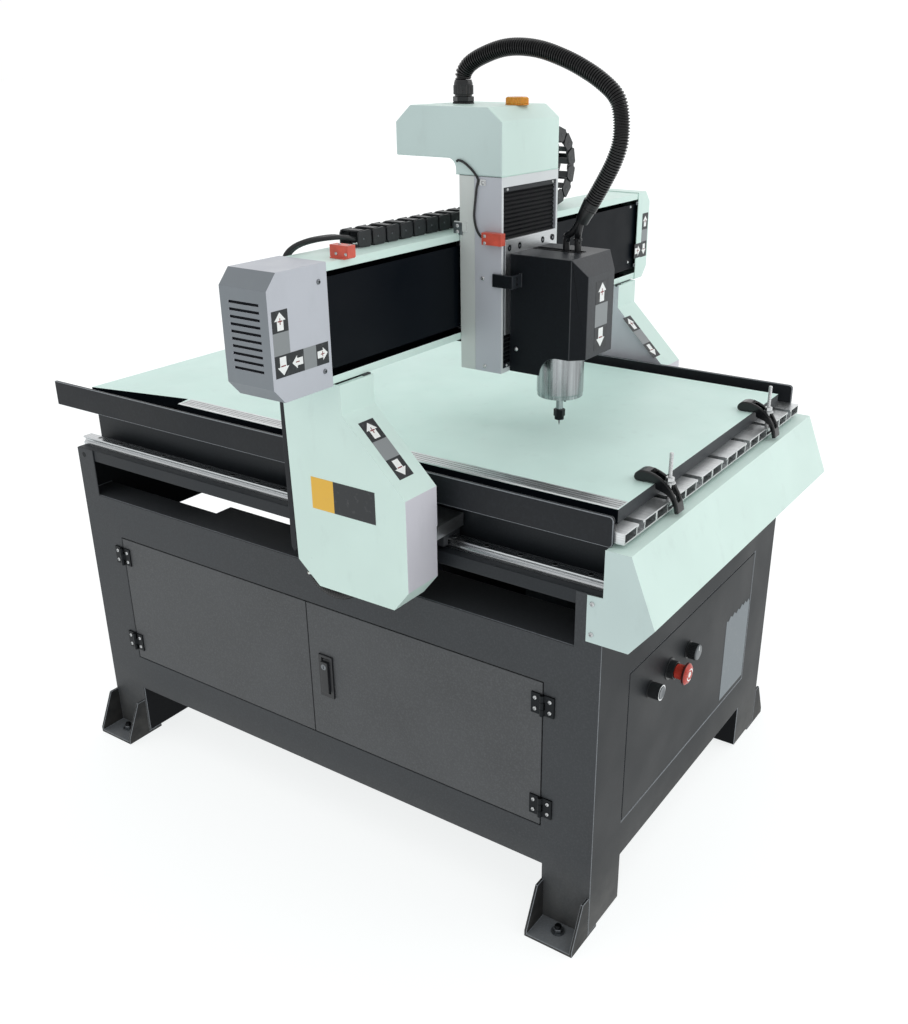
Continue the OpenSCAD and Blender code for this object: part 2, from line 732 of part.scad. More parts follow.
module gantry_legs() place() color("#34373A") {
  both_sides() {
    union() {
      yz_plate(-leg_in - leg_t, leg_t) polygon([[column_mid_y + leg_setback, beam_z],
        [column_mid_y + leg_setback, 882], [column_y0 + 6, 768], [column_y0 + 6, 624],
        [column_y0 + 33, column_low_z + 3], [column_y1 - 51, column_low_z + 3],
        [column_y1 - 12, 622], [column_y1 - 4, 884], [column_y1 - 4, beam_z]]);
      box([-leg_in, column_y0, carriage_z],
        [-rail_x + runner_w / 2, column_y1 - 8, carriage_z + carriage_t]);
    }
    for (y = [column_y0 + 8, column_y1 - 16 - runner_l])
      translate([-rail_x, y, cab_h]) runner();
  }
  // clips that hold the two ends of the cable loop
  for (p = [loop_pts[0], loop_pts[len(loop_pts) - 1]])
    translate([0, column_y1 - 118 + p[1], column_low_z + p[2]])
      box([-column_x + 3, -11, 0], [-leg_in - leg_t, 11, 8]);
}

nut_y = cross_y1;
module crossbar() place() color("#34373A") {
  difference() {
    box([-leg_in, cross_y0, cross_z0], [leg_in, cross_y1, cross_z1]);
    y_rod(0, cross_y0 - 1, y_screw_z, 12, cross_y1 - cross_y0 + 2);
  }
  // ball nut on its rear face
  difference() {
    union() {
      y_rod(0, nut_y, y_screw_z, 20, 10);
      y_rod(0, nut_y + 10, y_screw_z, 14, 38);
    }
    y_rod(0, nut_y - 1, y_screw_z, screw_r + run_gap, 60);
  }
}

module gantry_beam() place() color("#C3DDD6") {
  y2 = tube_y + 4;
  difference() {
    yz_plate(-beam_end, 2 * beam_end) difference() {
      translate([beam_y, beam_z]) square([beam_d, beam_h]);
      translate([beam_y + lip_t, beam_z + lip_t]) square([tube_y - beam_y - lip_t, beam_h - 2 * lip_t]);
      translate([beam_y - 1, beam_z + lip_h]) square([lip_t + 2, beam_h - 2 * lip_h]);
      translate([y2, beam_z + 5]) square([beam_y1 - 4 - y2, beam_h - 10]);
    }
  }
  // rails on the tube's front
  for (z = [x_screw_z - 40, x_screw_z + 40])
    box([-beam_end + 20, tube_y - z_rail_h, z - 7.5], [beam_end - 20, tube_y, z + 7.5]);
  // screw bearings
  for (x = [-beam_end, beam_end - 20]) difference() {
    box([x, tube_y - 28, x_screw_z - 20], [x + 20, tube_y, x_screw_z + 20]);
    x_rod(x - 1, x_screw_y, x_screw_z, 6 + run_gap, 22);
  }
}

module beam_panel() place() color("#0D131A") {
  low = beam_z + lip_h + 9;
  high = beam_top - lip_h - 9;
  box([-beam_end, panel_y, low], [beam_end, panel_y + panel_plate_t, high]);
  // end straps tie it to the beam's bearing blocks
  for (x = [-beam_end, beam_end - 20])
    box([x, panel_y + panel_plate_t, x_screw_z - 20], [x + 20, tube_y - 28, x_screw_z + 20]);
}

// An end cover: a box open towards the beam, its outer edges cut off
module end_cover(x0, len, slots) {
  lo = beam_z - cover_wall;
  hi = beam_top + cover_wall;
  y0 = beam_y - cover_wall;
  d = beam_d + 2 * cover_wall;
  w = cover_wall;
  c = 20;
  difference() {
    xz_plate(y0, d) polygon([[x0, lo], [x0 - len + c, lo], [x0 - len, lo + c + 2],
      [x0 - len, hi - c - 2], [x0 - len + c, hi], [x0, hi]]);
    xz_plate(y0 + w, d - 2 * w) polygon([[x0 + 1, lo + w], [x0 - len + c + w / 2, lo + w],
      [x0 - len + w, lo + c + 2 + w / 2], [x0 - len + w, hi - c - 2 - w / 2],
      [x0 - len + c + w / 2, hi - w], [x0 + 1, hi - w]]);
    if (slots) for (i = [0:9])
      box([x0 - len - 1, y0 + 16, lo + 43 + 10.2 * i], [x0 - len + w + 1, y0 + 73, lo + 47 + 10.2 * i]);
  }
}

module end_cover_left() place() color("#B5BEC2")
  end_cover(-beam_end + cover_lap, end_left, true);

module end_cover_right() place() color("#C3DDD6")
  mirror([1, 0, 0]) end_cover(-beam_end + cover_lap, end_right, false);

x_motor_face = -beam_end - 20;
module x_motor() place() color("#2B2D30") {
  translate([x_motor_face, x_screw_y, x_screw_z]) rotate([0, 90, 0]) motor(60);
  // bracket on the beam's end
  difference() {
    box([x_motor_face, beam_y + 1, x_screw_z - 32], [-beam_end, beam_y1 - 4, x_screw_z + 32]);
    box([x_motor_face + 4, beam_y, x_screw_z - 27], [-beam_end - 4, beam_y1, x_screw_z + 27]);
    x_rod(x_motor_face - 1, x_screw_y, x_screw_z, 12.5, 30);
  }
}

module x_screw() place() color("silver") translate([0, x_screw_y, x_screw_z]) rotate([0, 90, 0]) {
  translate([0, 0, x_motor_face + 0.5]) coupling(18);
  translate([0, 0, x_motor_face + 10]) cylinder(r = 6, h = 2 * beam_end + 10);
  translate([0, 0, -beam_end + 20.3]) cylinder(r = screw_r, h = 2 * beam_end - 40.6);
}

module x_switch() place() color("#C25548") {
  translate([-453, beam_y - 12, beam_top + 2]) cube([17, 34, 17]);
  translate([-456, beam_y - 8, beam_top]) cube([23, 28, 2]);
}

module gantry_cables() place() color("#101316") {
  // the loop below the left leg
  translate([-column_x + 14, column_y1 - 118, column_low_z]) tube(loop_pts, 10.4, 10);
  // three leads that leave the chain's fixed end and go into the beam's rear face
  for (i = [0:2]) translate([chain_x0, chain_y + 8 + 10 * i, beam_top]) tube(
    [for (p = tail_pts) [p[0] * (1 + 0.1 * i), p[1] * (1 - 0.25 * i), p[2]]], 3.5, 8, [0, 1, 0.2]);
}

module chain_link(l) {
  // a link lies along x: two side plates and two bars
  t = 4;
  for (y = [0, chain_w - t]) translate([0, y, 0]) cube([l, t, chain_h]);
  for (z = [0, chain_h - 3]) translate([l / 2 - 8, 0, z]) cube([16, chain_w, 3]);
}

module chain_run(x0, x1) {
  n = round((x1 - x0) / chain_pitch);
  p = (x1 - x0) / n;
  for (i = [0:n - 1]) translate([x0 + i * p, chain_y, 0]) chain_link(i < n - 1 ? p + 0.2 : p);
}

module chain_lower() place() color("#26292C") translate([0, 0, beam_top]) union() {
  chain_run(chain_x0, chain_x1 - 0.05);
}

module chain_bend() place() color("#26292C") translate([chain_x1, chain_y, beam_top + chain_r + chain_h / 2])
  rotate([90, 0, 0]) mirror([0, 0, 1]) difference() {
    union() {
      for (z = [0, chain_w - 4]) translate([0, 0, z]) cylinder(r = chain_r + chain_h / 2, h = 4);
      for (r = [chain_r - chain_h / 2, chain_r + chain_h / 2 - 3]) difference() {
        cylinder(r = r + 3, h = chain_w);
        translate([0, 0, -1]) cylinder(r = r, h = chain_w + 2);
      }
    }
    translate([0, 0, -1]) cylinder(r = chain_r - chain_h / 2, h = chain_w + 2);
    translate([-200, -100, -1]) cube([200, 200, chain_w + 2]);
  }

module chain_upper() place() color("#26292C") translate([0, 0, chain_top - chain_h]) union() {
  chain_run(head_x + head_w / 2, chain_x1);
}

// ---- Carriage and head ----
module head() { translate([head_x, 0, 0]) children(); }

module x_saddle() place() head() color("#8D9296") {
  y = tube_y - 28;
  w = 75;
  z0 = x_screw_z - 60;
  z1 = x_screw_z + 60;
  low = beam_z + lip_h + web_gap;
  high = beam_top - lip_h - web_gap - web_t;
  union() {
    box([-w, panel_y + panel_plate_t + 1, low], [w, y, high + web_t]);
    for (z = [low, high]) box([-w, z_back_y + frame_back_t, z], [w, panel_y + panel_plate_t + 1, z + web_t]);
  }
  // runners on the beam's rails, and the nut
  for (x = [-w, w - 56]) for (z = [x_screw_z - 40, x_screw_z + 40]) difference() {
    box([x, y, z - 17], [x + 56, tube_y - 4, z + 17]);
    box([x - 1, tube_y - z_rail_h - 0.3, z - 7.8], [x + 57, tube_y, z + 7.8]);
  }
  difference() {
    box([-20, y, x_screw_z - 15], [20, tube_y - 1, x_screw_z + 15]);
    x_rod(-21, x_screw_y, x_screw_z, screw_r + run_gap, 42);
  }
}

module z_frame() place() head() color("#AEB5BA") {
  w = head_w / 2;
  difference() {
    union() {
      for (s = [-1, 1]) box([s * w - (s > 0 ? frame_wall : 0), head_y, head_z],
        [s * w + (s < 0 ? frame_wall : 0), z_back_y + frame_back_t, head_top]);
      box([-w, z_back_y, head_z], [w, z_back_y + frame_back_t, head_top]);
      box([-w, head_y, head_z], [w, z_back_y, head_z + 8]);
      box([-w, head_y, head_top - 8], [w, z_back_y, head_top]);
      box([-w, head_y, bellows_top], [w, head_y + 2, head_top]);
    }
    z_rod(0, z_screw_y, head_z - 1, 6 + run_gap, 10);
    z_rod(0, z_screw_y, head_top - 9, 6 + run_gap, 10);
  }
  for (x = [-56, 56])
    box([x - 7.5, z_back_y - z_rail_h, head_z + 8], [x + 7.5, z_back_y, head_top - 8]);
}

module z_rear_cover() place() head() color("#B5C4C6") {
  w = head_w / 2;
  t = 1.5;
  y0 = z_back_y + frame_back_t;
  y1 = beam_y - 1;
  for (s = [-1, 1]) box([s * w - (s > 0 ? t : 0), y0, head_z], [s * w + (s < 0 ? t : 0), y1, head_top]);
  box([-w + t, y1 - t, beam_top + 5], [w - t, y1, head_top]);
  // dog for the cross travel's limit switch
  box([-w - 2, y1 - 14, beam_top + 3], [-w, y1 + 10, beam_top + 19]);
}

module hood_outline(g) {
  c = 1 - sqrt(0.5);
  difference() {
    polygon([[head_y + g, head_top + (g > 0 ? -1 : 0)], [hood_neck_y - g, head_top + (g > 0 ? -1 : 0)],
      [hood_neck_y - g, hood_low + g], [hood_y1 - g, hood_low + g], [hood_y1 - g, hood_top - 26 - g * c],
      [hood_y1 - 30 - g * c, hood_top - g], [head_y + 26 + g * c, hood_top - g],
      [head_y + g, hood_top - 20 - g * c]]);
  }
}

module z_hood() place() head() color("#C3DDD6") {
  w = head_w / 2;
  difference() {
    union() {
      yz_plate(-w, head_w) hood_outline(0);
      // the round under the overhang
      yz_plate(-w, head_w) difference() {
        translate([hood_neck_y, hood_low - 16]) square(16);
        translate([hood_neck_y + 16, hood_low - 16]) circle(r = 16);
      }
    }
    yz_plate(-w + hood_wall, head_w - 2 * hood_wall) hood_outline(hood_wall);
    z_rod(0, head_y + 132, hood_top - 5, 9, 10);
    box([w - 5, chain_y + 5, chain_top - chain_h + 4], [w + 5, chain_y + chain_w - 5, chain_top - 4]);
  }
}

module z_motor() place() head() color("#2B2D30")
  translate([0, z_screw_y, head_top]) mirror([0, 0, 1]) {
    translate([0, 0, -1]) difference() {
      translate([0, 0, 0.5]) cube([motor_w, motor_w - 1, 1], center = true);
      cylinder(r = 9, h = 5, center = true);
    }
    translate([0, 0, -1]) difference() {
      translate([0, 0, -36]) cube([motor_w, motor_w - 1, 72], center = true);
      for (x = [-1, 1]) for (y = [-1, 1])
        translate([x * motor_w / 2, y * motor_w / 2, -42]) cube([12, 12, 72], center = true);
      translate([0, 0, -20]) cylinder(r = 5, h = 40);
    }
  }

module z_screw() place() head() color("silver") {
  low = head_z + 8.3;
  z_rod(0, z_screw_y, head_z + 1, 6, 8);
  z_rod(0, z_screw_y, low, screw_r, head_top - 8.3 - low);
  z_rod(0, z_screw_y, head_top - 8.3, 6, 8.3 - 0.3);
  z_rod(0, z_screw_y, head_top - 0.3, 4.5, 16);
}

module bellows(z0, z1, n) {
  // folds of pitch p, each 5 mm deep
  w = plate_w / 2;
  p = (z1 - z0) / n;
  y = head_y + 2;
  pts = [for (i = [0:2 * n]) [y + (i % 2 == 0 ? 0 : 5), z0 + i * p / 2]];
  back = [for (i = [2 * n:-1:0]) [y + 2.5 + (i % 2 == 0 ? 0 : 5), z0 + i * p / 2]];
  yz_plate(-w, 2 * w) polygon(concat(pts, back));
}

module bellows_upper() place() head() color("#16191C") bellows(plate_top, bellows_top, 10);
module bellows_lower() place() head() color("#16191C") bellows(bellows_low, plate_z, 7);

module z_switch() place() head() color("#D4644A") {
  w = head_w / 2;
  translate([-w - 13, head_y - 7, plate_top - 7]) cube([13, 37, 19]);
  translate([-w - 3, head_y + 2, plate_top - 8.8]) cylinder(r = 2.5, h = 1.8);
}

module switch_cable() place() head() color("#101316") {
  w = head_w / 2;
  translate([-w - 2.3, head_y, head_top]) tube(lead_pts, 2, 8);
}

module hose_gland() place() head() color("#15181B") {
  y = head_y + 132;
  difference() {
    union() {
      z_rod(0, y, hood_top, 17.5, 8);
      translate([0, y, hood_top + 8]) cylinder(r = 16.5, h = 14, $fn = 8);
      z_rod(0, y, hood_top + 22, 15.5, 14.5);
      z_rod(0, y, hood_top - 10, 8.8, 11);
    }
    z_rod(0, y, hood_top - 11, 6, 60);
  }
}

module spindle_hose() place() head() color("#14171A")
  translate([0, head_y, head_top]) tube(hose_pts,
    [for (i = [0:len(hose_pts) - 1]) i < 18 ? 13.2 : i == 18 ? 9 : 6.5], 10);

module beacon() place() head() color("#E0A02F") {
  z_rod(11, head_y + 35, hood_top, 19, 11);
  z_rod(11, head_y + 35, hood_top + 11, 17, 1.5);
}

// ---- Slide plate and spindle ----
module z_plate() place() head() color("#B4B8BA") {
  w = plate_w / 2;
  back = plate_y + plate_t;
  difference() {
    box([-w, plate_y, plate_z], [w, back, plate_top]);
    for (x = [-66, -36, 36, 66]) y_rod(x, plate_y - 1, plate_top - 13, 4.5, 8);
  }
  for (x = [-56, 56]) for (z = [plate_z + 6, plate_top - 64]) difference() {
    box([x - 17, back, z], [x + 17, z_back_y - 4, z + 56]);
    box([x - 7.8, z_back_y - z_rail_h - 0.3, z - 1], [x + 7.8, z_back_y, z + 57]);
  }
  difference() {
    box([-17, back, plate_z + 50], [17, z_back_y - 0.5, plate_z + 95]);
    z_rod(0, z_screw_y, plate_z + 49, screw_r + run_gap, 47);
  }
}

clamp_z = plate_z + 20;
clamp_h = 80;
module spindle_clamp() place() head() color("#9DA2A6") difference() {
  box([-54, spindle_y - 4, clamp_z], [54, plate_y, clamp_z + clamp_h]);
  z_rod(0, spindle_y, clamp_z - 1, spindle_r, clamp_h + 2);
}

module spindle_body() place() head() color("#C4C8CB") difference() {
  union() {
    translate([0, spindle_y, spindle_z]) rotate_extrude() polygon([[0, 0], [28, 0], [30, 2],
      [spindle_r - 1.5, 2], [spindle_r - 1, 3], [spindle_r - 1, 8], [spindle_r, 9],
      [spindle_r, 214], [spindle_r - 2, 216], [0, 216]]);
    for (x = [-14, 14]) z_rod(x, spindle_y, spindle_z + 216, 7, 18);
  }
  z_rod(0, spindle_y, spindle_z - 1, shaft_r + run_gap, 60);
}

module cover_body(g) {
  z0 = cover_z0 - (g > 0 ? 1 : 0);
  z1 = cover_z1 - g;
  w = cover_hw - g;
  y0 = cover_y0 + g;
  c = 20.5;
  y1 = plate_y + (g > 0 ? 1 : 0);
  difference() {
    translate([0, 0, z0]) linear_extrude(height = z1 - z0)
      polygon([[-w, y1], [-w, y0 + c], [-w + c, y0], [w - c, y0], [w, y0 + c], [w, y1]]);
    // the top's front edge is cut off
    yz_plate(-100, 200) polygon([[y0 - 5, z1 - 34], [y0, z1 - 27], [y0 + 20, z1], [y0 + 20, z1 + 5],
      [y0 - 5, z1 + 5]]);
  }
}

module spindle_cover() place() head() color("#24272A") {
  r = 33;
  difference() {
    cover_body(0);
    cover_body(2);
    // lower front corner, cut back in a quarter round
    box([-100, cover_y0 - 5, cover_z0 - 5], [100, cover_y0 + 43, cover_z0 + r]);
    x_rod(-100, cover_y0 + 43, cover_z0, r, 200);
    box([3, cover_y0 + 42, cover_z1 - 5], [17, plate_y - 4, cover_z1 + 5]);
  }
  // dog for the lift's limit switch
  w = head_w / 2;
  union() {
    box([-w - 5, plate_y - 22, cover_z1 - 51], [-cover_hw, plate_y - 18, cover_z1 - 30]);
    box([-w - 5, plate_y - 18, cover_z1 - 51], [-w - 1, plate_y + 17, cover_z1 - 30]);
  }
}

module spindle_shaft() place() head() color("#C9CCCE")
  z_rod(0, spindle_y, spindle_z - 24, shaft_r, 80);

module collet_nut() place() head() color("#1A1C1E") difference() {
  union() {
    z_rod(0, spindle_y, spindle_z - 42, 8.2, 6);
    translate([0, spindle_y, spindle_z - 36]) cylinder(r = 10, h = 12, $fn = 6);
  }
  z_rod(0, spindle_y, spindle_z - 24, shaft_r, 12);
  z_rod(0, spindle_y, spindle_z - 43, 1.6, 24);
}

module cutter() place() head() color("#B9BDC0") {
  z_rod(0, spindle_y, spindle_z - 48, 1.6, 24);
  translate([0, spindle_y, spindle_z - 53]) cylinder(r1 = 0.3, r2 = 1.6, h = 5);
}

cabinet_sides();
cabinet_shell();
service_panel();
feet();
foot_bolts();
bed_frame();
y_rails();
side_guards();
slot_table();
work_board();
front_cover();
clamp_arms();
clamp_bolts();
panel_fittings();
button_cap();
estop_head();
speed_knob();
near_door();
far_door();
hinge_frame_leaves();
latch_plate();
latch_lever();
control_gear();
y_motor();
y_screw();
column_covers();
column_backs();
gantry_legs();
crossbar();
gantry_beam();
beam_panel();
end_cover_left();
end_cover_right();
x_motor();
x_screw();
x_switch();
gantry_cables();
chain_lower();
chain_bend();
chain_upper();
x_saddle();
z_frame();
z_rear_cover();
z_hood();
z_motor();
z_screw();
bellows_upper();
bellows_lower();
z_switch();
switch_cable();
hose_gland();
spindle_hose();
beacon();
z_plate();
spindle_clamp();
spindle_body();
spindle_cover();
spindle_shaft();
collet_nut();
cutter();
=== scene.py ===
"""Looks of a cabinet engraving machine, laid over the frame of its CAD row.

The row's frame is in metres: +X is the machine's right, +Y runs to its back and +Z is up.
Sizes in this file are millimetres in the frame of the CAD source, whose origin lies on the
floor below the middle of the cabinet's front edge. A Form holds them until its piece is made.
"""

import json
import logging
import math
from collections.abc import Callable, Sequence
from dataclasses import dataclass, field
from enum import Enum

import bmesh
import bpy
from mathutils import Matrix, Vector

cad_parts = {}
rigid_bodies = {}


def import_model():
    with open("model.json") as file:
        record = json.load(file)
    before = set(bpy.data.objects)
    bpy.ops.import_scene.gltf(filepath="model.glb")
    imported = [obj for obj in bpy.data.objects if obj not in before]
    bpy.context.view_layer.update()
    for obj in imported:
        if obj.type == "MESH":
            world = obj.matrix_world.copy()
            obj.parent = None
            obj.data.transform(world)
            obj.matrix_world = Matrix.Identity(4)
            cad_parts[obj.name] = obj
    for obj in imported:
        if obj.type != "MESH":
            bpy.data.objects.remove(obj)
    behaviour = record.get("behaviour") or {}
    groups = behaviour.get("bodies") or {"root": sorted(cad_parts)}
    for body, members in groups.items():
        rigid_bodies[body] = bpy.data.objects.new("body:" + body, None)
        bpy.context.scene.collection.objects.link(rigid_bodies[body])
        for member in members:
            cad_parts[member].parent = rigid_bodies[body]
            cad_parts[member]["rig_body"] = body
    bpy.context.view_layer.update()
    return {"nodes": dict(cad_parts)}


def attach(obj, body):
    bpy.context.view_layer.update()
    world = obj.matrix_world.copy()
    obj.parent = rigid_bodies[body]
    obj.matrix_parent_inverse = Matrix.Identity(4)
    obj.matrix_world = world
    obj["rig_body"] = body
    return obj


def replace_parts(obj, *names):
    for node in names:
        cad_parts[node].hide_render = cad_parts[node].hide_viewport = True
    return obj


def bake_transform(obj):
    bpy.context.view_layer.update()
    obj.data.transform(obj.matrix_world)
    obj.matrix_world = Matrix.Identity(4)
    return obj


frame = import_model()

log = logging.getLogger("machine")

MM = 0.001
# where the row's origin lies in the source's frame
SOURCE_ORIGIN = Vector((-33.0, 578.5, 0.0))
TO_ROW = Matrix.Scale(MM, 4) @ Matrix.Translation(-SOURCE_ORIGIN)
# two faces that meet at less than this shade as one
SMOOTH_BELOW = math.radians(42)
# points closer than this, in millimetres, and faces flatter than this are a CAD node's triangles
WELD = 0.02
FLAT_BELOW = math.radians(0.8)
# how many short straight steps a curve takes between two of its given points
CURVE_STEPS = 12

Point = tuple[float, float, float]
Outline = Sequence[tuple[float, float]]



# ---- Finishes ---------------------------------------------------------------------------

# where a colour mix takes its two colours, and where it gives the result
LOW, HIGH, MIXED = 6, 7, 2

Colour = tuple[float, float, float, float]


def linear(hex_colour: str) -> Colour:
    """Turns a display colour into the linear colour that a shader takes.

    Args:
        hex_colour: an sRGB colour such as "#C3DDD6".

    Returns:
        Red, green, blue and an alpha of 1.
    """
    parts = [int(hex_colour[i : i + 2], 16) / 255 for i in (1, 3, 5)]
    lin = [c / 12.92 if c <= 0.04045 else ((c + 0.055) / 1.055) ** 2.4 for c in parts]
    return (lin[0], lin[1], lin[2], 1.0)


def scaled(colour: Colour, by: float) -> Colour:
    """Returns a linear colour made lighter or darker by a factor."""
    return (min(1.0, colour[0] * by), min(1.0, colour[1] * by), min(1.0, colour[2] * by), 1.0)


def connect(tree: bpy.types.NodeTree, node: bpy.types.Node, inputs: dict[str | int, object]) -> None:
    """Gives a node's inputs their values and links.

    Args:
        tree: the material's node tree.
        node: the node.
        inputs: what each input takes, by name or index: a value, one output of another node, or
            another node, whose first output it then takes.
    """
    for name, value in inputs.items():
        source = value.outputs[0] if isinstance(value, bpy.types.Node) else value
        if isinstance(source, bpy.types.NodeSocket):
            tree.links.new(source, node.inputs[name])
        else:
            node.inputs[name].default_value = source


def add(
    tree: bpy.types.NodeTree, kind: str, inputs: dict[str | int, object] | None = None, **settings: object
) -> bpy.types.Node:
    """Adds one shader node.

    Args:
        tree: the material's node tree.
        kind: the node's type.
        inputs: its values and links, as connect() has them.
        settings: attributes of the node itself.

    Returns:
        The new node.
    """
    node = tree.nodes.new(kind)
    for name, value in settings.items():
        setattr(node, name, value)
    connect(tree, node, inputs or {})
    return node


def grain(
    tree: bpy.types.NodeTree, size: float, detail: float = 2.0, stretch: Point = (1, 1, 1)
) -> bpy.types.NodeSocket:
    """A cloudy pattern of one real size, laid out in the piece's own coordinates.

    Args:
        tree: the material's node tree.
        size: the width of one blotch in millimetres.
        detail: how many finer layers lie on it.
        stretch: how many times longer a blotch is along each axis.

    Returns:
        The pattern's value, about 0.5 on average.
    """
    coords = add(tree, "ShaderNodeTexCoord").outputs["Object"]
    squeeze = tuple(1 / s for s in stretch)
    mapped = add(tree, "ShaderNodeMapping", {"Vector": coords, "Scale": squeeze})
    settings = {"Vector": mapped, "Scale": 1 / (size * MM), "Detail": detail}
    return add(tree, "ShaderNodeTexNoise", settings).outputs["Fac"]


@dataclass(frozen=True)
class Finish:
    """A real material and how it was made, with the slot of the CAD record it belongs to."""

    name: str
    colour: str
    slot: str
    roughness: float = 0.5
    specular: float = 0.5

    def patterns(self, tree: bpy.types.NodeTree) -> dict[str | int, object]:
        """Adds this finish's own patterns to its node tree.

        Args:
            tree: the material's node tree.

        Returns:
            What the principled surface takes from them, by the input's name.
        """
        raise NotImplementedError

    def material(self) -> bpy.types.Material:
        """Makes the Blender material on the first call.

        Returns:
            The material.
        """
        known = bpy.data.materials.get(self.name)
        if known is not None:
            return known
        made = bpy.data.materials.new(self.name)
        made.use_nodes = True
        made.diffuse_color = linear(self.colour)
        tree = made.node_tree
        tree.nodes.clear()
        plain = {
            "Base Color": linear(self.colour),
            "Roughness": self.roughness,
            "Specular IOR Level": self.specular,
        }
        surface = add(tree, "ShaderNodeBsdfPrincipled", plain)
        connect(tree, surface, self.patterns(tree))
        add(tree, "ShaderNodeOutputMaterial", {"Surface": surface})
        return made


@dataclass(frozen=True)
class PowderCoat(Finish):
    """Baked powder over steel: matt and slightly cloudy, with a painted glint on its pebble.

    The real pebble is about 0.3 mm wide. It is drawn several times wider, because one so fine
    would not show.
    """

    pebble: float = 1.6
    depth: float = 0.05
    # how far the painted glint lightens the pebble's crests
    painted_glint: float = 0.35
    dust: float = 0.3
    cloud: float = 160
    dust_patch: float = 25
    dust_reach: float = 160

    def patterns(self, tree: bpy.types.NodeTree) -> dict[str | int, object]:
        """The coat's clouds, the painted glint on its pebble, and the dust that thins out above the floor.

        Args:
            tree: the material's node tree.

        Returns:
            What the principled surface takes from them, by the input's name.
        """
        base = linear(self.colour)
        blotch = grain(tree, self.cloud, 3)
        cloud = add(tree, "ShaderNodeMapRange", {"Value": blotch, "From Min": 0.35, "From Max": 0.65})
        shades = {"Factor": cloud, LOW: scaled(base, 0.9), HIGH: scaled(base, 1.1)}
        tone = add(tree, "ShaderNodeMix", shades, data_type="RGBA").outputs[MIXED]
        # painted glint: dots two pebbles wide are painted lighter, as if the pebble's crests caught light;
        # the eye reads them as texture
        crests = {"Value": grain(tree, 2 * self.pebble, 3), "From Min": 0.45, "From Max": 0.72}
        glint_mask = add(tree, "ShaderNodeMapRange", crests | {"To Max": self.painted_glint})
        shades = {"Factor": glint_mask, LOW: tone, HIGH: scaled(base, 1.9)}
        tone = add(tree, "ShaderNodeMix", shades, data_type="RGBA").outputs[MIXED]
        if self.dust:
            place = add(tree, "ShaderNodeNewGeometry").outputs["Position"]
            height = add(tree, "ShaderNodeSeparateXYZ", {"Vector": place}).outputs["Z"]
            reach = {"Value": height, "From Max": self.dust_reach * MM, "To Min": self.dust, "To Max": 0.0}
            low = add(tree, "ShaderNodeMapRange", reach)
            patch = grain(tree, self.dust_patch, 4)
            patchy = add(tree, "ShaderNodeMath", {0: low, 1: patch}, operation="MULTIPLY")
            shades = {"Factor": patchy, LOW: tone, HIGH: linear("#8C8A84")}
            tone = add(tree, "ShaderNodeMix", shades, data_type="RGBA").outputs[MIXED]
        span = {"To Min": self.roughness - 0.04, "To Max": self.roughness + 0.06}
        rough = add(tree, "ShaderNodeMapRange", {"Value": cloud, **span})
        relief = {"Height": grain(tree, self.pebble, 2), "Distance": self.depth * MM}
        return {"Base Color": tone, "Roughness": rough, "Normal": add(tree, "ShaderNodeBump", relief)}


@dataclass(frozen=True)
class SprayPaint(Finish):
    """Sprayed enamel on folded sheet: a satin film with faint orange peel and handling marks."""

    peel: float = 2.2
    depth: float = 0.012
    grime: float = 0.1
    cloud: float = 130
    thumb: float = 28
    haze: float = 45

    def patterns(self, tree: bpy.types.NodeTree) -> dict[str | int, object]:
        """The film's clouds, its rubbed patches, its haze and its orange peel.

        Args:
            tree: the material's node tree.

        Returns:
            What the principled surface takes from them, by the input's name.
        """
        base = linear(self.colour)
        blotch = grain(tree, self.cloud, 2)
        cloud = add(tree, "ShaderNodeMapRange", {"Value": blotch, "From Min": 0.35, "From Max": 0.65})
        shades = {"Factor": cloud, LOW: scaled(base, 0.975), HIGH: scaled(base, 1.02)}
        tone = add(tree, "ShaderNodeMix", shades, data_type="RGBA").outputs[MIXED]
        # rubbed patches a thumb wide, a touch greyer than the clean film
        rubbed = {"Value": grain(tree, self.thumb, 5, (1, 1, 2.5)), "From Min": 0.6, "From Max": 0.78}
        smear = add(tree, "ShaderNodeMapRange", rubbed | {"To Max": self.grime})
        shades = {"Factor": smear, LOW: tone, HIGH: linear("#8E9A9A")}
        tone = add(tree, "ShaderNodeMix", shades, data_type="RGBA").outputs[MIXED]
        span = {"To Min": self.roughness - 0.05, "To Max": self.roughness + 0.07}
        haze = {"Value": grain(tree, self.haze, 3), "From Min": 0.3, "From Max": 0.7}
        rough = add(tree, "ShaderNodeMapRange", haze | span)
        relief = {"Height": grain(tree, self.peel, 1), "Distance": self.depth * MM}
        return {"Base Color": tone, "Roughness": rough, "Normal": add(tree, "ShaderNodeBump", relief)}


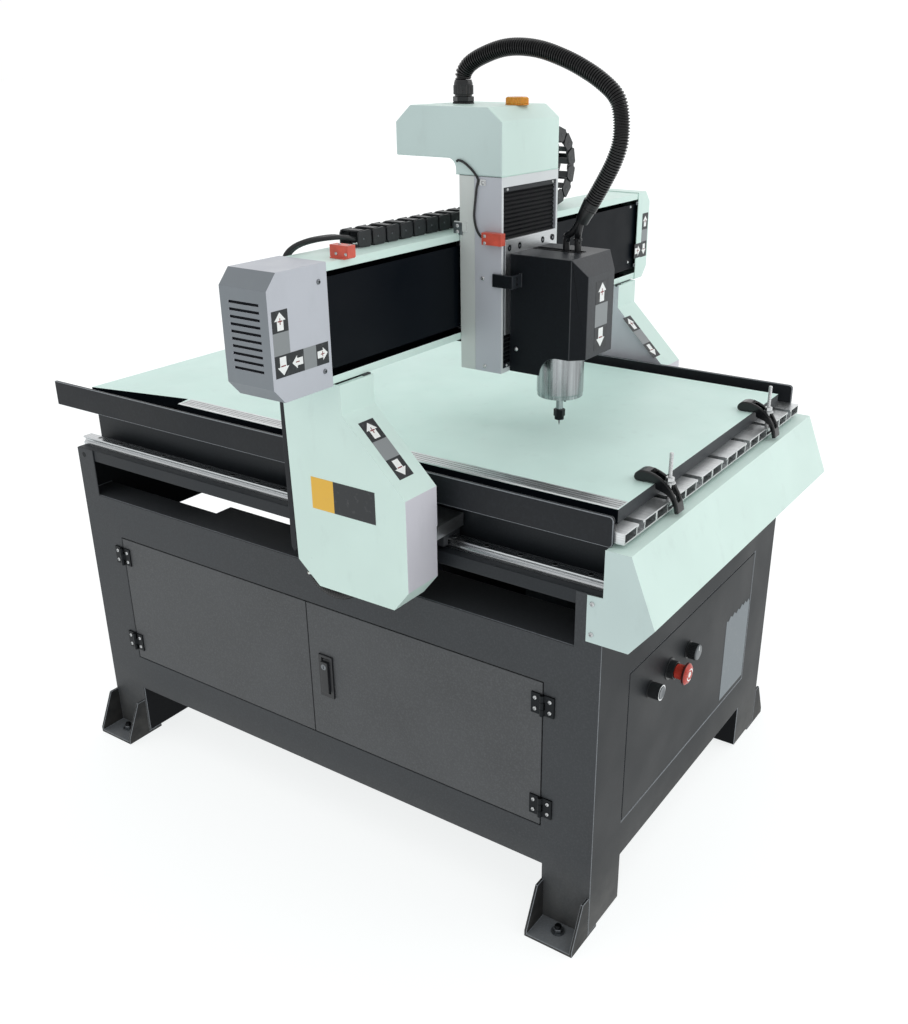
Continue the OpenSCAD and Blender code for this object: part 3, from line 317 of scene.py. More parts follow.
@dataclass(frozen=True)
class Metal(Finish):
    """Bare or plated metal, with tool marks drawn out along one direction.

    Real tool marks lie about 0.1 mm apart. They are drawn wider, because marks so fine would
    not show.
    """

    marks: float = 0.5
    run: Point = (1, 1, 1)
    depth: float = 0.01
    # how much lighter and darker the marks are; on the spindle, broad marks of high contrast are painted
    # reflections
    contrast: float = 0.14
    stain: float = 0.12
    stain_patch: float = 35

    def patterns(self, tree: bpy.types.NodeTree) -> dict[str | int, object]:
        """The tool marks in tone, gloss and relief, under stains from oil and hands.

        Args:
            tree: the material's node tree.

        Returns:
            What the principled surface takes from them, by the input's name.
        """
        base = linear(self.colour)
        tool = grain(tree, self.marks, 3, self.run)
        lines = {"Value": tool, "From Min": 0.3, "From Max": 0.7}
        shades = {
            "Factor": add(tree, "ShaderNodeMapRange", lines),
            LOW: scaled(base, 1 - self.contrast),
            HIGH: scaled(base, 1 + self.contrast),
        }
        tone = add(tree, "ShaderNodeMix", shades, data_type="RGBA").outputs[MIXED]
        # handling and oil leave cloudy stains a few centimetres wide
        oil = {"Value": grain(tree, self.stain_patch, 4), "From Min": 0.52, "From Max": 0.75}
        cloud = add(tree, "ShaderNodeMapRange", oil | {"To Max": self.stain})
        shades = {"Factor": cloud, LOW: tone, HIGH: scaled(base, 0.55)}
        tone = add(tree, "ShaderNodeMix", shades, data_type="RGBA").outputs[MIXED]
        span = {"To Min": self.roughness - 0.06, "To Max": self.roughness + 0.08}
        rough = add(tree, "ShaderNodeMapRange", lines | span)
        normal = add(tree, "ShaderNodeBump", {"Height": tool, "Distance": self.depth * MM})
        return {"Base Color": tone, "Metallic": 1.0, "Roughness": rough, "Normal": normal}


@dataclass(frozen=True)
class Moulding(Finish):
    """Moulded plastic or rubber: a spark-eroded grain, rubbed shinier where it is touched.

    The real grain is about 0.1 mm wide. It is drawn wider, because one so fine would not show.
    """

    grain_size: float = 0.7
    depth: float = 0.02
    glow: float = 0.0
    cloud: float = 14
    glow_reach: float = 2

    def patterns(self, tree: bpy.types.NodeTree) -> dict[str | int, object]:
        """The cloudy tone and gloss, the grain, and the glow of a part that lets light through.

        Args:
            tree: the material's node tree.

        Returns:
            What the principled surface takes from them, by the input's name.
        """
        base = linear(self.colour)
        blotch = grain(tree, self.cloud, 4)
        cloud = add(tree, "ShaderNodeMapRange", {"Value": blotch, "From Min": 0.35, "From Max": 0.7})
        shades = {"Factor": cloud, LOW: scaled(base, 0.88), HIGH: scaled(base, 1.14)}
        span = {"To Min": self.roughness - 0.07, "To Max": self.roughness + 0.07}
        relief = {"Height": grain(tree, self.grain_size, 2), "Distance": self.depth * MM}
        return {
            "Base Color": add(tree, "ShaderNodeMix", shades, data_type="RGBA").outputs[MIXED],
            "Roughness": add(tree, "ShaderNodeMapRange", {"Value": cloud, **span}),
            "Normal": add(tree, "ShaderNodeBump", relief),
            "Subsurface Weight": self.glow,
            "Subsurface Scale": self.glow_reach * MM,
        }


@dataclass(frozen=True)
class Print(Finish):
    """Printed vinyl or a film stuck on: flat ink under a satin face, with small scuffs."""

    scuff: float = 0.15
    scuff_patch: float = 9
    ripple: float = 5
    ripple_depth: float = 0.01

    def patterns(self, tree: bpy.types.NodeTree) -> dict[str | int, object]:
        """The scuffs on the ink, and the film's faint ripple.

        Args:
            tree: the material's node tree.

        Returns:
            What the principled surface takes from them, by the input's name.
        """
        worn = {"Value": grain(tree, self.scuff_patch, 5), "From Min": 0.58, "From Max": 0.8}
        rub = add(tree, "ShaderNodeMapRange", worn | {"To Max": self.scuff})
        shades = {"Factor": rub, LOW: linear(self.colour), HIGH: linear("#9A9D9E")}
        relief = {"Height": grain(tree, self.ripple, 2), "Distance": self.ripple_depth * MM}
        return {
            "Base Color": add(tree, "ShaderNodeMix", shades, data_type="RGBA").outputs[MIXED],
            "Normal": add(tree, "ShaderNodeBump", relief),
        }


@dataclass(frozen=True)
class Cloth(Finish):
    """Coated fabric: a fine square weave under a matt coat, worn paler in patches."""

    thread: float = 0.5
    thread_depth: float = 0.04
    worn_patch: float = 12

    def patterns(self, tree: bpy.types.NodeTree) -> dict[str | int, object]:
        """The weave of two crossing sets of threads, and the worn patches.

        Args:
            tree: the material's node tree.

        Returns:
            What the principled surface takes from them, by the input's name.
        """
        base = linear(self.colour)
        coords = add(tree, "ShaderNodeTexCoord").outputs["Object"]
        # a wave of scale 1 has its bands 0.31 apart, so this gives each thread one band
        threads = {"Vector": coords, "Scale": 0.31 / (self.thread * MM)}
        waves = [
            add(tree, "ShaderNodeTexWave", threads, bands_direction=way).outputs["Fac"] for way in ("X", "Z")
        ]
        weave = add(tree, "ShaderNodeMath", {0: waves[0], 1: waves[1]}, operation="MAXIMUM")
        patch = {"Value": grain(tree, self.worn_patch, 4), "From Min": 0.5, "From Max": 0.8, "To Max": 0.3}
        shades = {"Factor": add(tree, "ShaderNodeMapRange", patch), LOW: base, HIGH: scaled(base, 1.8)}
        relief = {"Height": weave, "Distance": self.thread_depth * MM}
        return {
            "Base Color": add(tree, "ShaderNodeMix", shades, data_type="RGBA").outputs[MIXED],
            "Normal": add(tree, "ShaderNodeBump", relief),
        }


@dataclass(frozen=True)
class Studio(Finish):
    """The pale paper that the machine stands on, lit from behind like a light table."""

    glow: float = 0.88
    fibre: float = 3

    def patterns(self, tree: bpy.types.NodeTree) -> dict[str | int, object]:
        """The paper's fibres and its own light.

        Args:
            tree: the material's node tree.

        Returns:
            What the principled surface takes from them, by the input's name.
        """
        base = linear(self.colour)
        streak = {"Value": grain(tree, self.fibre, 2), "From Min": 0.3, "From Max": 0.7}
        fibre = add(tree, "ShaderNodeMapRange", streak)
        shades = {"Factor": fibre, LOW: scaled(base, 0.29), HIGH: scaled(base, 0.3)}
        tone = add(tree, "ShaderNodeMix", shades, data_type="RGBA").outputs[MIXED]
        return {"Base Color": tone, "Emission Color": base, "Emission Strength": self.glow}


# powder-coated sheet: nearly black and dull, with a fine painted glint
CABINET = PowderCoat("powder_coat_graphite", "#35383B", "frame_grey", 0.5, specular=0.3)
# painted shade: a darker copy of the coat for the cabinet's front faces and the service panel
CABINET_FRONT_PAINTED_SHADE = PowderCoat("powder_coat_graphite_front_painted_shade", "#1C1F22", "frame_grey", 0.5, specular=0.25)
DOOR = PowderCoat("powder_coat_graphite_door", "#484A4C", "door_grey", 0.5, specular=0.3)
FOOT = PowderCoat("powder_coat_foot", "#121519", "dark_cast", 0.55, specular=0.15, dust=0.3)
# the same coat on the bed, smoother and bluer
BED = PowderCoat("powder_coat_bed_black", "#202428", "black_steel", 0.45, specular=0.25, dust=0)
# wrinkle coat: a coarse, deep pebble that breaks up every highlight
TEXTURED = PowderCoat(
    "wrinkle_coat_black", "#1A1D21", "black_textured", 0.5, specular=0.25, pebble=2.4, depth=0.09, dust=0
)
COVER_COAT = PowderCoat(
    "wrinkle_coat_spindle_cover", "#22262B", "black_textured", 0.45, pebble=2.2, depth=0.12, painted_glint=0.5,
    dust=0,
)  # fmt: skip
# painted shade: a nearly black copy of the spindle cover's coat for its left side
COVER_SIDE_PAINTED_SHADE = PowderCoat(
    "wrinkle_coat_cover_side_painted_shade", "#0D1116", "black_textured", 0.5, specular=0.15, pebble=2.2, depth=0.1, dust=0
)
# painted highlight on edges where the coat is also rubbed through, a paler top on the soles, and painted
# shade on walls that are always in shade
RUBBED_EDGE_AND_HIGHLIGHT = PowderCoat("powder_coat_rubbed_edge_and_painted_highlight", "#74797E", "frame_grey", 0.45, painted_glint=0.5, dust=0)
SOLE_TOP = PowderCoat("powder_coat_sole_top_pale", "#5E646A", "dark_cast", 0.5, specular=0.3, dust=0.4)
LEG_INSIDE_PAINTED_SHADE = PowderCoat("powder_coat_leg_inside_painted_shade", "#0E1013", "frame_grey", 0.6, specular=0.1, dust=0)
# sprayed enamel on folded sheet: smooth, satin and faintly cloudy
MINT = SprayPaint("enamel_mint", "#CFE6DF", "mint", 0.4)
# painted shade: a greyer copy of the mint for the sides of the covers
MINT_PAINTED_SHADE = SprayPaint("enamel_mint_painted_shade", "#BFD2D0", "mint", 0.4)
PALE = SprayPaint("enamel_pale_grey", "#B7BBC3", "pale_grey", 0.4)
# painted light: a paler copy of the pale grey for the head frame's front edges
FRAME_FRONT_PAINTED_LIGHT = SprayPaint("enamel_pale_frame_front_painted_light", "#D5DADC", "pale_grey", 0.4)
REAR_COVER = SprayPaint("enamel_pale_rear_cover", "#C6CCCA", "pale_grey", 0.4)
# painted light and shade: a greyer, lavender copy of the mint for the right leg's inner face and the legs'
# toes
COLUMN_PAINTED_LIGHT_AND_SHADE = SprayPaint("enamel_pale_painted_light_and_shade", "#D2D2DA", "pale_grey", 0.4)
# painted shade: a darker grey for the left end cover's outer side
SIDE_GREY_PAINTED_SHADE = SprayPaint("enamel_mid_grey_painted_shade", "#777E84", "pale_grey", 0.4)
# the board: a washable laminate with dull edge bands
BOARD_TOP = SprayPaint("board_laminate_mint", "#D2EDE6", "board", 0.42, depth=0.02, grime=0.08)
BOARD_EDGE = PowderCoat("board_edge_band_grey", "#33373A", "black_textured", 0.5, specular=0.3, dust=0)
# black anodised sheet: a deep, even black that hardly shines; the same black is painted shade inside the
# beam's channel, behind the vent slots, on the board's left faces and in the plate's counterbores
BLACK_PANEL_AND_SHADE = SprayPaint("anodised_panel_black_and_painted_shade", "#090E14", "black_panel", 0.35, specular=0.06, grime=0.0)
# drawn, sawn and ground metal: fine streaks along the way it was made
ANODISED = Metal("anodised_profile", "#DCDFE0", "profile_alu", 0.34, marks=0.8, run=(1, 60, 1), contrast=0.2)
SAWN = Metal("sawn_profile_end", "#D6D8D8", "profile_alu", 0.45, marks=0.5, run=(14, 1, 1))
RAIL = Metal(
    "ground_rail_steel", "#C2C5C7", "rail_steel", 0.24, marks=0.4, run=(1, 80, 1), contrast=0.06, stain=0.02
)
MILLED = Metal("milled_aluminium", "#C3C6C8", "machined_alu", 0.34, marks=0.6, run=(20, 1, 1))
# turned steel with painted reflections: broad light and dark bands that run up the spindle
TURNED_PAINTED_REFLECTION = Metal(
    "turned_spindle_steel_painted_reflection", "#A4A8AA", "spindle_steel", 0.24, marks=7, run=(1, 1, 60), contrast=0.45
)
# plated, chromed and blackened small parts: glints with cloudy stains
SCREW = Metal("rolled_screw_steel", "#B9BCBE", "screw_steel", 0.25, marks=0.8)
ZINC = Metal("bright_zinc_plate", "#C9CBCC", "bright_zinc", 0.28, marks=1.5, stain=0.3)
DULL_ZINC = Metal("dull_zinc_plate", "#7B7F83", "bright_zinc", 0.4, marks=1.5, stain=0.3)
CHROME = Metal("chromed_bezel", "#E0E2E3", "bright_zinc", 0.12, marks=3, contrast=0.03, stain=0.05)
CARBIDE = Metal("ground_carbide", "#8D9092", "carbide", 0.3, marks=0.6)
OXIDE = Metal("black_oxide_steel", "#26282A", "black_steel", 0.38, marks=1.2, contrast=0.2)
# painted castings and cases inside the machine: flat and dark
CASTING = PowderCoat("painted_casting", "#303336", "cast_alu", 0.55, pebble=3.0, depth=0.12, dust=0)
MOTOR = PowderCoat("motor_enamel", "#26292C", "motor_black", 0.4, dust=0)
GEAR = PowderCoat("inverter_case", "#5D666C", "gear_grey", 0.5, dust=0)
# moulded plastics: soft highlights over a fine grain
NYLON = Moulding("glass_filled_nylon", "#1E2124", "chain_plastic", 0.42, depth=0.03)
BLACK_PLASTIC = Moulding("black_abs", "#1A1C1F", "black_plastic", 0.4)
GLAND = Moulding("black_polyamide_gland", "#141619", "black_plastic", 0.3)
HOSE = Moulding("corrugated_hose_pe", "#090A0C", "hose_black", 0.25)
SLEEVE = Moulding("heat_shrink_sleeve", "#0E1013", "cable_black", 0.35)
CABLE = Moulding("pvc_cable", "#121417", "cable_black", 0.36)
TIE_BLACK = Moulding("nylon_tie_black", "#1B1D20", "cable_black", 0.4)
TIE_WHITE = Moulding("nylon_tie_natural", "#DADCD8", "pale_grey", 0.4, glow=0.2)
SWITCH = Moulding("switch_abs_red", "#CB5442", "switch_red", 0.36)
MUSHROOM = Moulding("estop_abs_red", "#B5372A", "red_plastic", 0.3)
# a coat that the clamps were dipped in: thick, black and rather glossy
RUBBER_COAT = PowderCoat("dipped_clamp_black", "#0A0C0F", "black_steel", 0.24, pebble=1.2, dust=0)
# red plastic darkened at the rim as painted shade, grey and amber plastic, a spun brass ring, and plain
# rubber
MUSHROOM_RIM_PAINTED_SHADE = Moulding("estop_rim_painted_shade", "#4A191A", "red_plastic", 0.35)
BUTTON_GREY = Moulding("button_abs_grey", "#5B6064", "black_plastic", 0.35)
AMBER = Moulding("beacon_polycarbonate", "#D8921E", "amber", 0.22, glow=0.35)
BRASS = Metal("beacon_brass_ring", "#C98A3C", "amber", 0.25, marks=0.5)
RUBBER = Moulding("black_rubber", "#141516", "black_plastic", 0.6, grain_size=1.2)
# coated cloth: dead black, with paler worn patches
BELLOWS = Cloth("bellows_coated_cloth", "#0E1013", "bellows_black", 0.6, specular=0.15)
# vinyl and film stuck on: flat ink with faint scuffs
PRINT_BLACK = Print("vinyl_black", "#1A1E22", "black_plastic", 0.45)
PRINT_GREY = Print("vinyl_grey", "#84898B", "gear_grey", 0.45)
PRINT_WHITE = Print("vinyl_white", "#E9ECEB", "pale_grey", 0.45, scuff=0.08)
PRINT_MARK = Print("vinyl_dark_red", "#7A2020", "switch_red", 0.45)
PRINT_YELLOW = Print("vinyl_yellow", "#E2B23C", "amber", 0.45, scuff=0.08)
PANEL_FILM = Print("panel_film_grey", "#757D82", "gear_grey", 0.5, specular=0.3, scuff=0.3)
# the floor: pale paper that gives some light of its own, so that it stays nearly white
PAPER = Studio("studio_paper", "#F4F6F6", "", 0.9)


# ---- Geometry ---------------------------------------------------------------------------


class Side(Enum):
    """Which way a local plane faces: its first and second directions; the third is outward."""

    FRONT = ((1, 0, 0), (0, 0, 1))
    BACK = ((-1, 0, 0), (0, 0, 1))
    LEFT = ((0, -1, 0), (0, 0, 1))
    RIGHT = ((0, 1, 0), (0, 0, 1))
    TOP = ((1, 0, 0), (0, 1, 0))
    BELOW = ((-1, 0, 0), (0, 1, 0))


def plane(origin: Point, first: Sequence[float], second: Sequence[float]) -> Matrix:
    """A local plane: u along first, v along second, w outward.

    Args:
        origin: where the plane's zero is, in source millimetres.
        first: the direction of u.
        second: the direction of v, square to u.

    Returns:
        The matrix from local to source coordinates.
    """
    u = Vector(first).normalized()
    v = Vector(second).normalized()
    turn = Matrix((u, v, u.cross(v))).transposed().to_4x4()
    return Matrix.Translation(Vector(origin)) @ turn


def on(side: Side, origin: Point) -> Matrix:
    """A local plane on one of the six sides, with its zero at origin."""
    return plane(origin, *side.value)


def smooth_path(points: Sequence[Point], step: float) -> list[Vector]:
    """Rounds a route into one smooth curve through its points.

    Args:
        points: the route.
        step: about how far apart the new points lie, in millimetres.

    Returns:
        Points along a Catmull-Rom curve, evenly spaced.
    """
    ctrl = [Vector(p) for p in points]
    ctrl = [2 * ctrl[0] - ctrl[1], *ctrl, 2 * ctrl[-1] - ctrl[-2]]
    dense: list[Vector] = []
    for a, b, c, d in zip(ctrl, ctrl[1:], ctrl[2:], ctrl[3:]):
        for i in range(CURVE_STEPS):
            t = i / CURVE_STEPS
            dense.append(
                0.5
                * (2 * b + (c - a) * t + (2 * a - 5 * b + 4 * c - d) * t**2 + (3 * b - a - 3 * c + d) * t**3)
            )
    dense.append(ctrl[-2].copy())
    lengths = [0.0]
    for p, q in zip(dense, dense[1:]):
        lengths.append(lengths[-1] + (q - p).length)
    count = max(2, round(lengths[-1] / step))
    even: list[Vector] = []
    at = 0
    for i in range(count + 1):
        want = lengths[-1] * i / count
        while at < len(lengths) - 2 and lengths[at + 1] < want:
            at += 1
        span = lengths[at + 1] - lengths[at]
        even.append(dense[at].lerp(dense[at + 1], (want - lengths[at]) / span if span else 0))
    return even


def rectangle(half_u: float, half_v: float) -> list[tuple[float, float]]:
    """The outline of a rectangle around the local zero."""
    return [(-half_u, -half_v), (half_u, -half_v), (half_u, half_v), (-half_u, half_v)]


def fluted(flutes: int, first: float, second: float, width: int = 1) -> list[tuple[float, float]]:
    """The outline of a fluted knob, lens or nut.

    Args:
        flutes: how many flutes it has around.
        first: the radius of the first points, in millimetres.
        second: the radius of the points after them.
        width: how many points in a row have one radius.

    Returns:
        The outline.
    """
    count = 2 * width * flutes
    outline = []
    for k in range(count):
        radius = first if k % (2 * width) < width else second
        turn = 2 * math.pi * k / count
        outline.append((radius * math.cos(turn), radius * math.sin(turn)))
    return outline


def put_in_scene(name: str, data: bpy.types.ID) -> bpy.types.Object:
    """Makes an object of a mesh, a lamp or a camera and links it to the scene.

    Args:
        name: the object's name.
        data: what it shows.

    Returns:
        The object.
    """
    made = bpy.data.objects.new(name, data)
    bpy.context.scene.collection.objects.link(made)
    return made


# a rule that gives the finish from a face's middle and normal, in source millimetres
Painter = Callable[[Vector, Vector], Finish]


class Form:
    """A mesh being built in source millimetres, with a finish on each face."""

    def __init__(self) -> None:
        """Starts with no faces and no finishes."""
        self.mesh = bmesh.new()
        self.finishes: list[Finish] = []

    def _index(self, finish: Finish) -> int:
        """Looks up a finish in this form's list, and adds it on its first use.

        Args:
            finish: the finish.

        Returns:
            Its place in the list.
        """
        if finish not in self.finishes:
            self.finishes.append(finish)
        return self.finishes.index(finish)

    def _face(self, corners: Sequence[bmesh.types.BMVert], finish: Finish) -> None:
        """Adds one face, unless fewer than three corners differ or it is there already.

        Args:
            corners: its corners in order.
            finish: what it is made of.
        """
        unique = list(dict.fromkeys(corners))
        if len(unique) < 3:
            return
        try:
            face = self.mesh.faces.new(unique)
        except ValueError:
            return
        face.material_index = self._index(finish)

    def _skin(self, rings: Sequence[Sequence[Vector]], finish: Finish, closed: bool = False) -> None:
        """Joins rings of points into a surface and caps both its ends.

        Args:
            rings: the points of each ring; a ring of one point is a tip.
            finish: what the surface is made of.
            closed: whether the last ring joins the first, which leaves no ends.
        """
        made = [[self.mesh.verts.new(point) for point in ring] for ring in rings]
        pairs = list(zip(made, made[1:]))
        if closed:
            pairs.append((made[-1], made[0]))
        for near, far in pairs:
            for k in range(max(len(near), len(far))):
                n = k + 1
                corners = [near[k % len(near)], near[n % len(near)], far[n % len(far)], far[k % len(far)]]
                self._face(corners, finish)
        if not closed:
            self._face(made[0][::-1], finish)
            self._face(made[-1], finish)

    def prism(self, outline: Outline, low: float, high: float, where: Matrix, finish: Finish) -> None:
        """Adds a plate whose outline lies in a local plane.

        Args:
            outline: the corners (u, v) in order.
            low: the level w of its lower face.
            high: the level w of its upper face.
            where: the local plane.
            finish: what it is made of.
        """
        self._skin([[where @ Vector((u, v, w)) for u, v in outline] for w in (low, high)], finish)

    def box(self, low: Point, high: Point, finish: Finish) -> None:
        """Adds a block from its low and high corners."""
        base = [(low[0], low[1]), (high[0], low[1]), (high[0], high[1]), (low[0], high[1])]
        self.prism(base, low[2], high[2], Matrix.Identity(4), finish)

    def turned(
        self, profile: Outline, where: Matrix, finish: Finish, steps: int = 32, closed: bool = False
    ) -> None:
        """Adds a turned shape.

        Args:
            profile: (radius, level w) pairs; a radius of 0 closes an end.
            where: the local plane whose w is the axis.
            finish: what it is made of.
            steps: how many facets it has around.
            closed: whether the profile runs back to its start, as a ring's does.
        """
        angles = [2 * math.pi * k / steps for k in range(steps)]
        rings = []
        for radius, level in profile:
            ways = [(math.cos(a), math.sin(a)) for a in (angles if radius > 0 else angles[:1])]
            rings.append([where @ Vector((radius * c, radius * s, level)) for c, s in ways])
        self._skin(rings, finish, closed)

    def swept(
        self, path: Sequence[Vector], radii: Sequence[float] | float, finish: Finish, sides: int = 14
    ) -> None:
        """Adds a round tube along a path.

        Args:
            path: the middle of each ring.
            radii: the radius at each ring, or one for all.
            finish: what it is made of.
            sides: how many facets it has around.
        """
        angles = [2 * math.pi * k / sides for k in range(sides)]
        rings = []
        # any direction that no path here runs along will do to start from
        across = Vector((1, 0.13, 0.07))
        for i, centre in enumerate(path):
            ahead = (path[min(i + 1, len(path) - 1)] - path[max(i - 1, 0)]).normalized()
            across = (across - ahead * across.dot(ahead)).normalized()
            other = ahead.cross(across)
            radius = radii if isinstance(radii, (int, float)) else radii[i]
            rings.append([centre + radius * (math.cos(a) * across + math.sin(a) * other) for a in angles])
        self._skin(rings, finish)

    def take(self, node: str, finish: Finish | Painter) -> None:
        """Adds a CAD node's own surface, cleaned of its triangles' edges.

        Args:
            node: the CAD node's name.
            finish: one finish, or a rule that gives it for each face.
        """
        part = bmesh.new()
        part.from_mesh(frame["nodes"][node].data)
        part.transform(TO_ROW.inverted())
        bmesh.ops.remove_doubles(part, verts=part.verts, dist=WELD)
        bmesh.ops.dissolve_limit(
            part, angle_limit=FLAT_BELOW, verts=part.verts, edges=part.edges, delimit=set()
        )
        part.verts.index_update()
        copies = [self.mesh.verts.new(v.co) for v in part.verts]
        for face in part.faces:
            chosen = finish if isinstance(finish, Finish) else finish(face.calc_center_median(), face.normal)
            self._face([copies[v.index] for v in face.verts], chosen)
        part.free()

    def piece(
        self,
        name: str,
        body: str | None,
        width: float = 0.0,
        angle: float = 35,
        segments: int = 2,
        worn: Finish | None = None,
    ) -> bpy.types.Object:
        """Rounds the sharp edges, makes the object in the row's frame and lets it ride on a body.

        Args:
            name: the piece's name.
            body: the CAD body that it rides on, or None when it rides on none.
            width: how far its sharp edges are rounded; 0 leaves them.
            angle: the least angle that is rounded, in degrees.
            segments: how many facets each rounding has.
            worn: the finish of its rounded edges, which paints their wear and also a painted highlight, or
                None where they look like the rest.

        Returns:
            The object.
        """
        bmesh.ops.recalc_face_normals(self.mesh, faces=self.mesh.faces)
        limit = math.radians(angle)
        sharp = [e for e in self.mesh.edges if e.is_manifold and e.calc_face_angle(0) > limit]
        if width and sharp:
            bmesh.ops.bevel(
                self.mesh,
                geom=sharp,
                offset=width,
                segments=segments,
                profile=0.5,
                affect="EDGES",
                clamp_overlap=False,
                material=-1 if worn is None else self._index(worn),
            )
        for face in self.mesh.faces:
            face.smooth = True
        for edge in self.mesh.edges:
            edge.smooth = edge.is_manifold and edge.calc_face_angle(0) < SMOOTH_BELOW
        self.mesh.transform(TO_ROW)
        data = bpy.data.meshes.new(name)
        self.mesh.to_mesh(data)
        self.mesh.free()
        piece = put_in_scene(name, data)
        for finish in self.finishes:
            data.materials.append(finish.material())
        normals = piece.modifiers.new("even_normals", "WEIGHTED_NORMAL")
        normals.keep_sharp = True
        if body is not None:
            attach(piece, body)
        log.info("%s: %d faces, rides on %s", name, len(data.polygons), body)
        return piece


def dress(
    node: str,
    finish: Finish | Painter,
    width: float = 0.8,
    angle: float = 35,
    segments: int = 2,
    worn: Finish | None = None,
) -> bpy.types.Object:
    """Stands a finished copy with rounded edges in a CAD node's place.

    Args:
        node: the CAD node's name.
        finish: one finish, or a rule that gives it for each face.
        width: how far its sharp edges are rounded, in millimetres.
        angle: the least angle that is rounded, in degrees.
        segments: how many facets each rounding has.
        worn: the finish of its rounded edges, which paints their wear and also a painted highlight, or None
            where they look like the rest.

    Returns:
        The copy.
    """
    form = Form()
    form.take(node, finish)
    piece = form.piece(f"{node}_skin", frame["nodes"][node]["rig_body"], width, angle, segments, worn)
    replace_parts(piece, node)
    return piece


def recolour(node: str, finish: Finish) -> None:
    """Gives a CAD node, whose shape is right, its finish."""
    for slot in frame["nodes"][node].material_slots:
        slot.material = finish.material()


def mint_cover(middle: Vector, normal: Vector) -> Finish:
    """The sides of the hood and of the front cover get painted shade, a greyer mint than their fronts."""
    return MINT_PAINTED_SHADE if abs(normal.x) > 0.6 else MINT


# ---- Fasteners and print ----------------------------------------------------------------


def screw_head(form: Form, where: Matrix, radius: float = 4.0, finish: Finish = ZINC) -> None:
    """Adds a button head with its socket, standing on the local zero."""
    profile = [(0, 0.15), (0.42, 0.15), (0.46, 0.58), (0.7, 0.52), (0.92, 0.3), (1, 0.02), (1, -0.05)]
    form.turned([(r * radius, w * radius) for r, w in profile], where, finish, 20)


def cap_screw(form: Form, where: Matrix, radius: float = 4.0, finish: Finish = OXIDE) -> None:
    """Adds a tall cap head with its socket, standing on the local zero."""
    profile = [(0, 0.6), (0.5, 0.6), (0.56, 1.15), (0.9, 1.15), (1, 1.05), (1, 0)]
    form.turned([(r * radius, w * radius) for r, w in profile], where, finish, 20)


def washer(
    form: Form, where: Matrix, radius: float, bore: float, thick: float, finish: Finish = ZINC
) -> None:
    """Adds a flat washer standing on the local zero."""
    form.turned([(bore, 0), (radius, 0), (radius, thick), (bore, thick)], where, finish, 28, closed=True)


def hex_nut(form: Form, where: Matrix, radius: float, height: float, finish: Finish = ZINC) -> None:
    """Adds a chamfered hexagon standing on the local zero.

    Args:
        form: the form that receives it.
        where: the local plane whose w is its axis.
        radius: the radius over its corners.
        height: how tall it is.
        finish: what it is made of.
    """
    profile = [(0, 0), (0.9 * radius, 0), (radius, 0.12 * height), (radius, 0.88 * height)]
    profile += [(0.9 * radius, height), (0, height)]
    form.turned(profile, where, finish, 6)


def stud(
    form: Form, where: Matrix, radius: float, length: float, pitch: float, finish: Finish = ZINC
) -> None:
    """Adds a threaded rod from the local zero, its thread as rings.

    Args:
        form: the form that receives it.
        where: the local plane whose w is its axis.
        radius: the radius over the thread.
        length: how long it is.
        pitch: the distance between two turns of the thread.
        finish: what it is made of.
    """
    profile: list[tuple[float, float]] = [(0, 0)]
    for i in range(int(length / pitch)):
        profile += [(0.86 * radius, i * pitch), (radius, (i + 0.5) * pitch)]
    profile += [(0.8 * radius, length), (0, length)]
    form.turned(profile, where, finish, 14)


class Mark(Enum):
    """What a cell of a label shows, as the turn of its arrow in degrees."""

    UP = 0
    LEFT = 90
    DOWN = 180
    RIGHT = 270
    PLAIN = -1


# the arrow's outline, as shares of its cell's shorter side
ARROW = [(0, 0.39), (0.36, 0.03), (0.2, 0.03), (0.2, -0.39), (-0.2, -0.39), (-0.2, 0.03), (-0.36, 0.03)]


def label(form: Form, where: Matrix, size: tuple[float, float], mark: Mark, plus: bool = False) -> None:
    """Adds one cell of a direction label: a field with a pale arrow, or a plain grey field.

    Args:
        form: the form that receives it.
        where: the local plane, its zero in the middle of the cell.
        size: the cell's width and height in millimetres.
        mark: the arrow's direction.
        plus: whether the arrow carries a small cross rather than a bar.
    """
    ground = PRINT_GREY if mark is Mark.PLAIN else PRINT_BLACK
    form.prism(rectangle(size[0] / 2, size[1] / 2), -0.1, 0.25, where, ground)
    if mark is Mark.PLAIN:
        return
    turn = Matrix.Rotation(math.radians(mark.value), 4, "Z")
    reach = min(size)
    arrow = [(u * reach, v * reach * 1.06) for u, v in ARROW]
    form.prism(arrow, 0.25, 0.32, where @ turn, PRINT_WHITE)
    thick, long = 0.028 * reach, 0.15 * reach
    form.prism(rectangle(long, thick), 0.32, 0.36, where, PRINT_MARK)
    if plus:
        form.prism(rectangle(thick, long), 0.32, 0.37, where, PRINT_MARK)


def strip(form: Form, where: Matrix, size: tuple[float, float], heights: Sequence[float]) -> None:
    """Adds a three-cell strip that points both ways: up, a plain field, and down.

    Args:
        form: the form that receives it.
        where: the local plane, its zero at the strip's lower left corner.
        size: the strip's width and height.
        heights: the levels of its two inner borders.
    """
    wide, high = size
    levels = [0, *heights, high]
    for low, top, mark in zip(levels, levels[1:], (Mark.DOWN, Mark.PLAIN, Mark.UP)):
        middle = where @ Matrix.Translation((wide / 2, (low + top) / 2, 0))
        label(form, middle, (wide, top - low), mark, plus=mark is Mark.UP)


# ---- The machine ------------------------------------------------------------------------


